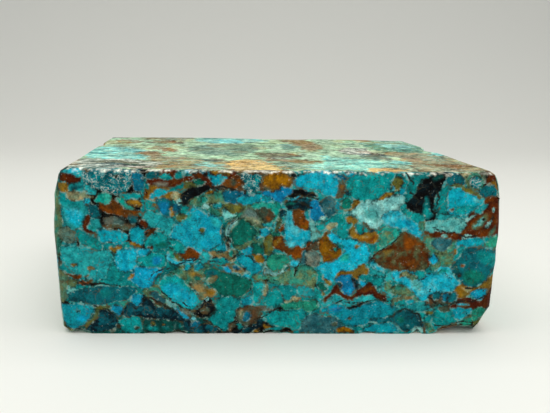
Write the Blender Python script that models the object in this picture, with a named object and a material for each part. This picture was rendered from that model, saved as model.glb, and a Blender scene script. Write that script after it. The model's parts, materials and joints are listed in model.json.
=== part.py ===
"""A sawn block of compressed turquoise: one solid stone, off-square, ground flat in front, lying on its sawn base."""

import bpy
import bmesh
import numpy as np
from mathutils import Vector, noise

# Sizes in metres. x runs along the front, y from the front (0) to the back, z up from the base,
# until the block is centred at the end.
FRONT_WIDTH = 0.1500
DEPTH = 0.1120
HEIGHT = 0.0592

# The two ends lean: how far each end's top line moves in x per metre of depth.
LEFT_SKEW = -0.076
RIGHT_SKEW = -0.062

CORNER_RADIUS = 0.0035
EDGE_BEVEL = 0.0004

# Outline of the two ends at the front, as (height, distance outside the nominal width).
LEFT_END = [(0.0, 0.0016), (0.002, 0.0028), (0.010, 0.0034), (0.020, 0.0034), (0.030, 0.0040),
            (0.038, 0.0042), (0.043, 0.0040), (0.045, 0.0033), (0.050, 0.0032), (0.052, 0.0022),
            (0.055, 0.0019), (0.0575, 0.0011), (0.0595, -0.0006)]
RIGHT_END = [(0.0, 0.0022), (0.010, 0.0020), (0.016, 0.0022), (0.022, 0.0021), (0.027, 0.0026),
             (0.033, 0.0023), (0.036, 0.0028), (0.048, 0.0025), (0.052, 0.0020), (0.055, 0.0012),
             (0.0575, 0.0002), (0.0595, -0.0014)]
END_FADE = 0.045

# The back face, as (share of the width, distance beyond the nominal depth).
BACK_LINE = [(0.0, 0.0012), (0.08, 0.0018), (0.30, 0.0012), (0.48, -0.0004), (0.75, -0.0010), (1.0, -0.0008)]

# The scoops broken out of the two ends' top edges: (end, depth, height above base, size, inward push).
END_SCOOPS = [("right", 0.0680, 0.0600, 0.0105, 0.0036), ("left", 0.0780, 0.0590, 0.0085, 0.0018),
              ("right", 0.1010, 0.0400, 0.0070, 0.0014), ("left", 0.0300, 0.0040, 0.0080, 0.0016)]

# The broken lower corners: (end, reach along the front, into the depth, and up).
BREAKS = [("right", 0.0085, 0.0130, 0.0125), ("left", 0.0040, 0.0050, 0.0030)]
BREAK_ROUGH = 0.10

# Chips along the front's bottom edge: (x, half length, height, depth).
BOTTOM_CHIPS = [(0.0665, 0.0105, 0.0030, 0.0070), (-0.0722, 0.0036, 0.0014, 0.0024),
                (-0.0452, 0.0026, 0.0007, 0.0012), (-0.0370, 0.0034, 0.0011, 0.0016),
                (-0.0030, 0.0032, 0.0011, 0.0015), (0.0018, 0.0016, 0.0008, 0.0010),
                (0.0315, 0.0028, 0.0011, 0.0014), (0.0500, 0.0013, 0.0018, 0.0016)]

# Chips along the front's top edge: (x, half length, height, depth).
TOP_CHIPS = [(-0.0690, 0.0060, 0.0020, 0.0018), (-0.0545, 0.0040, 0.0012, 0.0014),
             (-0.0250, 0.0050, 0.0010, 0.0010), (0.0140, 0.0040, 0.0014, 0.0013),
             (0.0290, 0.0060, 0.0012, 0.0014), (0.0480, 0.0055, 0.0012, 0.0014),
             (0.0640, 0.0050, 0.0016, 0.0014)]

# The gap that curls round the dark green stone in the front, with its centre and mean radii in x and z.
GAP_CENTRE = (-0.0132, 0.0375)
GAP_RADII = (0.0071, 0.0053)
GAP_WIDTH = 0.0010
GAP_DEPTH = 0.0022
GAP_FROM_TO = (100.0, 222.0)

# Pits and short cracks in the front: (x, z, half length, half width, turn in degrees, depth).
FRONT_PITS = [(-0.0050, 0.0236, 0.0026, 0.0009, -38.0, 0.0019), (-0.0434, 0.0210, 0.0026, 0.0006, 35.0, 0.0014),
              (-0.0386, 0.0226, 0.0027, 0.0006, 8.0, 0.0015), (-0.0104, 0.0166, 0.0013, 0.0007, 25.0, 0.0014),
              (-0.0050, 0.0198, 0.0010, 0.0007, 20.0, 0.0013), (0.0053, 0.0239, 0.0013, 0.0006, 75.0, 0.0014),
              (-0.0262, 0.0129, 0.0018, 0.0006, 35.0, 0.0014), (0.0316, 0.0384, 0.0012, 0.0006, 20.0, 0.0013)]

# Unevenness left by the saw and by wear: size of the waves and how far they move each face.
WAVE_SIZE = 0.030
WAVE_FRONT = 0.00020
WAVE_TOP = 0.00035
WAVE_ENDS = 0.00040

# Grid steps: the first few lines from an edge, then the even step between, and the steps wanted at
# the pits and at the chips.
EDGE_STEPS = [0.0, 0.0009, 0.0022, 0.0044]
WIDTH_STEP = 0.0050
DEPTH_STEP = 0.0064
HEIGHT_STEP = 0.0046
PIT_STEP = 0.0009
CHIP_STEP = 0.0016
REFINE_PASSES = 3


def ticks(length: float, step: float) -> np.ndarray:
    """Positions of the grid lines along one side, closer together near both ends."""
    inner = length - 2.0 * EDGE_STEPS[-1]
    count = max(2, round(inner / step))
    middle = EDGE_STEPS[-1] + inner * np.arange(1, count) / count
    ends = np.array(EDGE_STEPS)
    return np.concatenate([ends, middle, length - ends[::-1]])


def box_mesh() -> bmesh.types.BMesh:
    """A gridded plain box on z = 0, its underside one single face."""
    bm = bmesh.new()
    xs = ticks(FRONT_WIDTH, WIDTH_STEP)
    ys = ticks(DEPTH, DEPTH_STEP)
    zs = ticks(HEIGHT, HEIGHT_STEP)
    found = {}

    def vert(i: int, j: int, k: int) -> bmesh.types.BMVert:
        """The vertex on grid lines i, j and k, made the first time it is asked for."""
        if (i, j, k) not in found:
            found[i, j, k] = bm.verts.new((xs[i], ys[j], zs[k]))
        return found[i, j, k]

    nx, ny, nz = len(xs) - 1, len(ys) - 1, len(zs) - 1
    for i in range(nx):
        for k in range(nz):
            bm.faces.new([vert(i, 0, k), vert(i + 1, 0, k), vert(i + 1, 0, k + 1), vert(i, 0, k + 1)])
            bm.faces.new([vert(i, ny, k), vert(i, ny, k + 1), vert(i + 1, ny, k + 1), vert(i + 1, ny, k)])
    for j in range(ny):
        for k in range(nz):
            bm.faces.new([vert(0, j, k), vert(0, j, k + 1), vert(0, j + 1, k + 1), vert(0, j + 1, k)])
            bm.faces.new([vert(nx, j, k), vert(nx, j + 1, k), vert(nx, j + 1, k + 1), vert(nx, j, k + 1)])
    for i in range(nx):
        for j in range(ny):
            bm.faces.new([vert(i, j, nz), vert(i + 1, j, nz), vert(i + 1, j + 1, nz), vert(i, j + 1, nz)])
    rim = [(i, 0) for i in range(nx)] + [(nx, j) for j in range(ny)]
    rim += [(i, ny) for i in range(nx, 0, -1)] + [(0, j) for j in range(ny, 0, -1)]
    bm.faces.new([vert(i, j, 0) for i, j in reversed(rim)])
    return bm


def step_wanted(point: Vector) -> float:
    """The longest edge allowed at a point of the plain box."""
    x = point.x - FRONT_WIDTH / 2.0
    z = point.z
    if point.y < 0.0001:
        around = Vector(((x - GAP_CENTRE[0]) / GAP_RADII[0], (z - GAP_CENTRE[1]) / GAP_RADII[1])).length
        if 0.6 < around < 1.4 and x < GAP_CENTRE[0] + 0.4 * GAP_RADII[0]:
            return PIT_STEP
        if any(Vector((x - px, z - pz)).length < half + 0.0004 for px, pz, half, *_ in FRONT_PITS):
            return PIT_STEP
    for end, reach_x, reach_y, reach_z in BREAKS:
        inward = FRONT_WIDTH / 2.0 - x if end == "right" else FRONT_WIDTH / 2.0 + x
        if inward < 1.2 * reach_x and point.y < 1.2 * reach_y and z < 1.2 * reach_z:
            return CHIP_STEP
    if point.y < 0.003:
        if any(abs(x - cx) < half and z < height + 0.001 for cx, half, height, _ in BOTTOM_CHIPS):
            return CHIP_STEP
        if any(abs(x - cx) < half and z > HEIGHT - height - 0.001 for cx, half, height, _ in TOP_CHIPS):
            return CHIP_STEP
    for end, depth, height, size, _ in END_SCOOPS:
        at_end = x > FRONT_WIDTH / 2.0 - 0.004 if end == "right" else x < 0.004 - FRONT_WIDTH / 2.0
        if at_end and Vector((point.y - depth, 0.6 * (z - height))).length < size:
            return 1.4 * CHIP_STEP
    return 1.0


def refine(bm: bmesh.types.BMesh) -> None:
    """Split edges until the places with a gap, pit, scoop or chip have fine faces."""
    for _ in range(REFINE_PASSES):
        edges = []
        for edge in bm.edges:
            ends = [v.co for v in edge.verts]
            points = [ends[0].lerp(ends[1], share) for share in (0.0, 0.25, 0.5, 0.75, 1.0)]
            if edge.calc_length() > 1.3 * min(step_wanted(p) for p in points):
                edges.append(edge)
        bmesh.ops.subdivide_edges(bm, edges=edges, cuts=1, use_grid_fill=True)
        wide = [f for f in bm.faces if len(f.verts) > 4 and max(v.co.z for v in f.verts) > 0.0001]
        bmesh.ops.triangulate(bm, faces=wide)


def waves(point: Vector, size: float, seed: float) -> float:
    """Smooth unevenness between about -1 and 1."""
    return noise.fractal(point / size + Vector((seed, 2.0 * seed, -seed)), 0.8, 2.2, 3)


def scoop(distance: float) -> float:
    """A hollow with a sharp rim, as broken stone has: 1 at no distance, 0 from 1 on."""
    if distance >= 1.0:
        return 0.0
    return (1.0 - distance * distance) ** 0.75


def end_offset(line: list[tuple[float, float]], z: float) -> float:
    """How far one end stands out at a height, read from its outline."""
    heights, offsets = zip(*line)
    return float(np.interp(z, heights, offsets))


def round_corners(point: Vector) -> Vector:
    """The box point moved so that the upright corners are rounded."""
    inner_x = min(max(point.x, CORNER_RADIUS), FRONT_WIDTH - CORNER_RADIUS)
    inner_y = min(max(point.y, CORNER_RADIUS), DEPTH - CORNER_RADIUS)
    off = Vector((point.x - inner_x, point.y - inner_y))
    if off.x == 0.0 or off.y == 0.0:
        return point
    off *= max(abs(off.x), abs(off.y)) / off.length
    return Vector((inner_x + off.x, inner_y + off.y, point.z))


def skewed(point: Vector) -> Vector:
    """The rounded box point moved out to the block's off-square ends, back and top."""
    u = point.x / FRONT_WIDTH
    v = point.y / DEPTH
    fade = float(np.exp(-point.y / END_FADE))
    left = -FRONT_WIDTH / 2.0 + LEFT_SKEW * point.y - end_offset(LEFT_END, point.z) * fade
    right = FRONT_WIDTH / 2.0 + RIGHT_SKEW * point.y + end_offset(RIGHT_END, point.z) * fade
    for end, depth, height, size, push in END_SCOOPS:
        near = scoop(Vector((point.y - depth, 0.6 * (point.z - height))).length / size)
        if end == "right":
            right -= push * near
        else:
            left += push * near
    share, beyond = zip(*BACK_LINE)
    x = left + (right - left) * u
    y = point.y + v * v * float(np.interp(u, share, beyond))
    return Vector((x, y, point.z))


def worn(point: Vector, box: Vector) -> Vector:
    """The block's faces made slightly uneven, its base left flat."""
    out = point.copy()
    on_side = min(1.0, 4.0 * point.z / HEIGHT)
    if box.y < 0.0001:
        out.y += WAVE_FRONT * waves(point, WAVE_SIZE, 3.0)
    if box.y > DEPTH - 0.0001:
        out.y += WAVE_ENDS * waves(point, WAVE_SIZE, 5.0) * on_side
    if box.x < 0.0001 or box.x > FRONT_WIDTH - 0.0001:
        out.x += WAVE_ENDS * waves(point, WAVE_SIZE * 0.6, 7.0) * on_side
    if box.z > HEIGHT - 0.0001:
        out.z += WAVE_TOP * waves(point, WAVE_SIZE, 11.0)
        edge = min(box.x, FRONT_WIDTH - box.x, box.y, DEPTH - box.y)
        if edge < 0.0001:
            out.z -= EDGE_BEVEL
            inward = Vector((FRONT_WIDTH / 2.0 - box.x, DEPTH / 2.0 - box.y, 0.0)).normalized()
            out += inward * EDGE_BEVEL
    return out


def chipped(point: Vector) -> Vector:
    """The chips along the front's two long edges and the broken lower corners."""
    out = point.copy()
    if point.y < 0.012:
        for x, half, height, depth in BOTTOM_CHIPS:
            near = scoop(abs(point.x - x) / half) - point.z / height
            out.y = max(out.y, depth * near)
        for x, half, height, depth in TOP_CHIPS:
            near = scoop(abs(point.x - x) / half)
            fall = max(0.0, 1.0 - (HEIGHT - point.z) / height)
            back = max(0.0, 1.0 - point.y / depth)
            out.y += depth * near * fall * 0.8 * back
            out.z -= height * near * fall * 0.6 * back
    for end, reach_x, reach_y, reach_z in BREAKS:
        side = 1.0 if end == "right" else -1.0
        line = RIGHT_END if end == "right" else LEFT_END
        end_x = FRONT_WIDTH / 2.0 + end_offset(line, point.z)
        over = 1.0 - (end_x - side * out.x) / reach_x - out.y / reach_y - out.z / reach_z
        if over > 0.0:
            over += BREAK_ROUGH * waves(point, 0.008, 13.0) * min(1.0, 5.0 * over)
            away = over / (1.0 / reach_x ** 2 + 1.0 / reach_y ** 2)
            out.x -= side * away / reach_x
            out.y += away / reach_y
    return out


def pitted(point: Vector) -> Vector:
    """The curling gap, the cracks and the pits of the front face."""
    x, z = point.x, point.z
    depth = 0.0
    across = Vector(((x - GAP_CENTRE[0]) / GAP_RADII[0], (z - GAP_CENTRE[1]) / GAP_RADII[1]))
    turn = float(np.degrees(np.arctan2(across.y, across.x))) % 360.0
    if GAP_FROM_TO[0] < turn < GAP_FROM_TO[1]:
        along = (turn - GAP_FROM_TO[0]) / (GAP_FROM_TO[1] - GAP_FROM_TO[0])
        width = GAP_WIDTH * (0.35 + 0.65 * float(np.sin(np.pi * along)))
        off = abs(across.length - 1.0) * GAP_RADII[0]
        depth = GAP_DEPTH * scoop(off / width)
    for px, pz, half, wide, degrees, deep in FRONT_PITS:
        angle = np.radians(degrees)
        along = (x - px) * float(np.cos(angle)) + (z - pz) * float(np.sin(angle))
        aside = (z - pz) * float(np.cos(angle)) - (x - px) * float(np.sin(angle))
        depth = max(depth, deep * scoop(Vector((along / half, aside / wide)).length))
    return Vector((point.x, point.y + depth, point.z))


def shaped(box: Vector) -> Vector:
    """Where a point of the plain box lies on the finished block, before centring."""
    point = worn(skewed(round_corners(box)), box)
    point = chipped(point)
    if box.y < 0.0001:
        point = pitted(point)
    if box.z < 0.0001:
        point.z = 0.0
    return point


def build_block() -> bpy.types.Object:
    """The whole stone, centred over the origin with its base at z = 0."""
    bm = box_mesh()
    refine(bm)
    for vert in bm.verts:
        vert.co = shaped(vert.co.copy())
    low = Vector([min(v.co[i] for v in bm.verts) for i in range(3)])
    high = Vector([max(v.co[i] for v in bm.verts) for i in range(3)])
    centre = (low + high) / 2.0
    for vert in bm.verts:
        vert.co -= Vector((centre.x, centre.y, 0.0))
    bmesh.ops.triangulate(bm, faces=bm.faces[:])
    bmesh.ops.recalc_face_normals(bm, faces=bm.faces[:])
    for face in bm.faces:
        face.smooth = False
    mesh = bpy.data.meshes.new("turquoise_block")
    bm.to_mesh(mesh)
    bm.free()
    return bpy.data.objects.new("turquoise_block", mesh)


def stone_material() -> bpy.types.Material:
    """Ground turquoise with a soft sheen."""
    material = bpy.data.materials.new("turquoise")
    material.use_nodes = True
    shader = material.node_tree.nodes["Principled BSDF"]
    shader.inputs["Base Color"].default_value = (0.10, 0.42, 0.44, 1.0)
    shader.inputs["Roughness"].default_value = 0.4
    return material


def main() -> None:
    """Empty the scene, then build the block."""
    for obj in list(bpy.data.objects):
        bpy.data.objects.remove(obj)
    block = build_block()
    block.data.materials.append(stone_material())
    bpy.context.scene.collection.objects.link(block)


main()
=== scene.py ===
"""The looks of a sawn block of compressed turquoise: stones of many blues, greens and browns, closely set."""

import json
import logging
import math
from dataclasses import dataclass, field
from enum import Enum

import bmesh
import bpy
import numpy as np
from mathutils import Matrix, Vector, kdtree, noise

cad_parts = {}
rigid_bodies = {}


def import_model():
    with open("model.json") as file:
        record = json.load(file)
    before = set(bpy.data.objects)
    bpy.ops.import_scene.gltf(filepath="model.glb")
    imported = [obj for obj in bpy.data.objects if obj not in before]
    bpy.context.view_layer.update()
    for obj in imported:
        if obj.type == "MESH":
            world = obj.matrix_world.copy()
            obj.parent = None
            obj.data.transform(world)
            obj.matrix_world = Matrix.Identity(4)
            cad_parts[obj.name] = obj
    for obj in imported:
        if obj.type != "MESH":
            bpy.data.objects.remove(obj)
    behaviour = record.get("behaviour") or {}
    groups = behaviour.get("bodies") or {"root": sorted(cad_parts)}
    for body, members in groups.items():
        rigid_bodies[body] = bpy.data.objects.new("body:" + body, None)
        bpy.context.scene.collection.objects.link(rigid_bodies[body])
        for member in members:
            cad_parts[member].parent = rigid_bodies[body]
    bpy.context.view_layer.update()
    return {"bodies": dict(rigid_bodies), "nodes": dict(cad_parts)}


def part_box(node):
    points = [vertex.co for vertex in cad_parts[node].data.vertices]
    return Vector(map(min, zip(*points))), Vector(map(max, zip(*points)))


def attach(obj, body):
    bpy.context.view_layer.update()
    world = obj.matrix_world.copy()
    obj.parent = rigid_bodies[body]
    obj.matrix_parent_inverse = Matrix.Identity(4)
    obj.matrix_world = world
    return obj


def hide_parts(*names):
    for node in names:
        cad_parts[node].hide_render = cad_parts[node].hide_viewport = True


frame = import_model()

LOG = logging.getLogger("turquoise")
NODE = "turquoise_block"
BODY = next(iter(frame["bodies"]))
MM = 0.001
TINY = 1e-9

Triple = tuple[float, float, float]
Colour = tuple[float, float, float, float]
Arrays = dict[str, np.ndarray]

# How squarely a surface has to look forward or up to count as front or top, and down to count as base.
SQUARELY = 0.6
STRAIGHT = 0.9

# The darkest that a stone's linear colour gets.
DARKEST = 0.001

# The surface's noises: size in metres and shift.
NOISE_SIZES = {"coarse": (0.0042, 0.0), "fine": (0.0011, 5.0)}

# The noises that bend outlines: size in metres, shift and strength. The skew mixes their third axis in.
BEND_SIZES = {"bend": (0.011, 33.0, 0.2), "curl": (0.0022, 6.6, 1.0), "fray": (0.0009, 2.7, 1.0)}
BEND_SKEW = 0.3


class Stone(Enum):
    """The kinds of stone: colour and second colour, both 0 to 255, and how strongly they mottle."""

    SKY = ((0, 150, 174), (34, 178, 188), 0.5)
    AZURE = ((0, 142, 174), (14, 168, 188), 0.4)
    POWDER = ((22, 156, 176), (100, 192, 192), 0.5)
    BLUE = ((0, 112, 152), (0, 142, 176), 0.5)
    BAY = ((0, 92, 114), (0, 124, 144), 0.5)
    CYAN = ((0, 134, 150), (12, 164, 170), 0.5)
    AQUA = ((40, 158, 158), (0, 130, 138), 0.6)
    PALE = ((104, 180, 172), (40, 146, 146), 0.6)
    CHALK = ((132, 190, 182), (84, 160, 160), 0.7)
    TEAL = ((0, 124, 125), (22, 154, 146), 0.5)
    LAGOON = ((0, 122, 120), (0, 150, 150), 0.5)
    DEEP = ((0, 96, 102), (0, 66, 76), 0.6)
    SEA = ((14, 138, 124), (60, 165, 145), 0.5)
    GREEN = ((38, 136, 110), (5, 114, 100), 0.5)
    JADE = ((0, 93, 80), (12, 118, 100), 0.5)
    PINE = ((0, 62, 58), (0, 92, 82), 0.5)
    STEEL = ((35, 85, 92), (72, 122, 122), 0.5)
    SEDGE = ((44, 122, 104), (100, 110, 68), 0.8)
    SLATE = ((90, 100, 80), (48, 90, 86), 0.7)
    MOSS = ((100, 110, 75), (58, 110, 92), 0.8)
    OLIVE = ((102, 100, 44), (66, 100, 72), 0.7)
    OCHRE = ((142, 104, 32), (110, 98, 46), 0.7)
    GOLD = ((138, 94, 12), (94, 62, 18), 0.9)
    SAND = ((156, 140, 100), (108, 140, 112), 0.7)
    TAN = ((132, 110, 66), (76, 118, 96), 0.8)
    RUST = ((116, 62, 16), (78, 50, 24), 0.8)
    MAROON = ((74, 33, 8), (94, 50, 14), 0.8)
    UMBER = ((86, 64, 43), (58, 86, 72), 0.8)
    GREY = ((112, 116, 101), (66, 104, 100), 0.8)
    INK = ((12, 32, 38), (0, 84, 94), 0.8)
    SOOT = ((14, 9, 11), (8, 38, 44), 0.6)
    # Not a stone but a pit: sunk into the face, its near-black colour painted shade in the hollow.
    PIT_SHADE = ((3, 4, 4), (10, 22, 22), 0.4)
    CRACKLE = ((6, 114, 120), (0, 78, 86), 0.7)
    MOTTLE = ((82, 44, 14), (78, 88, 60), 0.9)
    FROST = ((166, 186, 150), (114, 142, 104), 1.0)
    MINT = ((84, 176, 172), (150, 198, 178), 0.9)
    ICE = ((100, 186, 170), (166, 204, 176), 0.8)
    LICHEN = ((98, 136, 112), (148, 164, 132), 0.9)
    DRIFT = ((158, 126, 78), (126, 140, 106), 0.9)
    BARK = ((84, 52, 22), (122, 98, 58), 0.8)
    CLAY = ((132, 80, 24), (138, 116, 66), 0.8)
    HOAR = ((84, 84, 72), (196, 192, 176), 1.0)
    HONEY = ((214, 174, 102), (176, 134, 66), 0.8)


# The browns and olives of the front. A patch of one of these blends only into another of them.
WARM = {Stone.SEDGE, Stone.SLATE, Stone.MOSS, Stone.OLIVE, Stone.OCHRE, Stone.GOLD, Stone.SAND, Stone.TAN,
        Stone.RUST, Stone.MAROON, Stone.UMBER, Stone.GREY, Stone.MOTTLE}


def linear(colour: tuple[float, float, float]) -> list[float]:
    """A colour of 0 to 255 in the linear units that shaders use."""
    return [c / 255 / 12.92 if c <= 10 else ((c / 255 + 0.055) / 1.055) ** 2.4 for c in colour]


# Open cracks in the ground front, drawn one by one: points in millimetres, across and up.
FRONT_CRACKS = [
    (-17.6, 34.2, -18.9, 36.6, -18.4, 39.6, -16.4, 41.8, -13.6, 43.6),
    (-46.2, 20.4, -44.6, 22.6, -41.6, 23.8, -38.4, 24.4,
     -36.0, 25.6, -32.4, 27.6, -27.8, 27.8, -22.0, 26.6, -18.6, 25.4),
    (-19.4, 27.8, -14.6, 29.6, -11.2, 28.8, -8.6, 26.4), (6.8, 27.2, 6.0, 24.6, 5.0, 22.2),
    (-4.4, 20.9, -2.6, 20.4, -1.0, 19.8), (3.6, 51.4, 6.4, 50.9, 9.4, 50.4, 12.8, 49.4),
    (4.2, 48.9, 7.0, 48.2, 10.4, 46.2), (5.0, 46.4, 8.0, 45.7),
    (-41.6, 15.4, -38.8, 12.8, -36.0, 10.6, -32.2, 8.8), (-35.2, 12.4, -30.6, 9.2, -29.0, 11.0),
    (18.6, 11.8, 22.0, 12.4, 25.6, 12.0, 30.4, 12.0, 34.4, 13.4, 38.8, 12.6),
    (53.0, 39.9, 57.8, 38.2, 61.6, 37.8, 65.0, 36.4, 68.8, 36.6),
    (53.6, 17.2, 53.2, 14.0, 55.6, 12.2, 60.0, 10.8, 64.6, 12.8, 69.2, 12.4, 73.8, 14.6, 77.0, 16.0),
    (42.8, 59.2, 45.0, 55.4, 44.2, 52.0, 47.4, 49.2), (52.0, 55.6, 54.4, 50.2, 53.0, 45.2),
    (60.8, 20.8, 57.0, 23.8, 53.2, 22.4, 49.6, 20.2), (31.6, 27.6, 34.0, 30.8, 38.6, 33.4, 41.8, 37.4),
    (-62.6, 44.6, -60.4, 42.9, -56.6, 43.2, -53.8, 41.4),
    (-72.6, 20.4, -68.0, 18.3, -62.4, 18.7, -56.6, 18.2), (-66.0, 10.4, -60.6, 8.9, -58.0, 5.4),
    (-54.4, 11.4, -51.0, 9.4, -47.6, 13.9, -43.4, 12.0, -38.2, 9.0), (-27.0, 5.2, -23.0, 3.0, -19.0, 0.8),
    (-9.0, 5.6, -6.0, 6.4, -2.0, 8.9, 2.6, 8.6), (12.0, 18.8, 13.0, 17.0),
    (-24.0, 53.4, -20.6, 53.8, -16.8, 52.6), (-35.6, 48.0, -31.8, 47.2, -30.8, 49.2),
    (66.0, 17.6, 69.6, 17.2), (39.8, 6.6, 44.6, 9.6, 50.2, 7.6, 52.2, 3.4),
    (56.4, 3.4, 61.2, 3.0, 65.2, 4.8, 70.4, 4.4),
]
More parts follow.
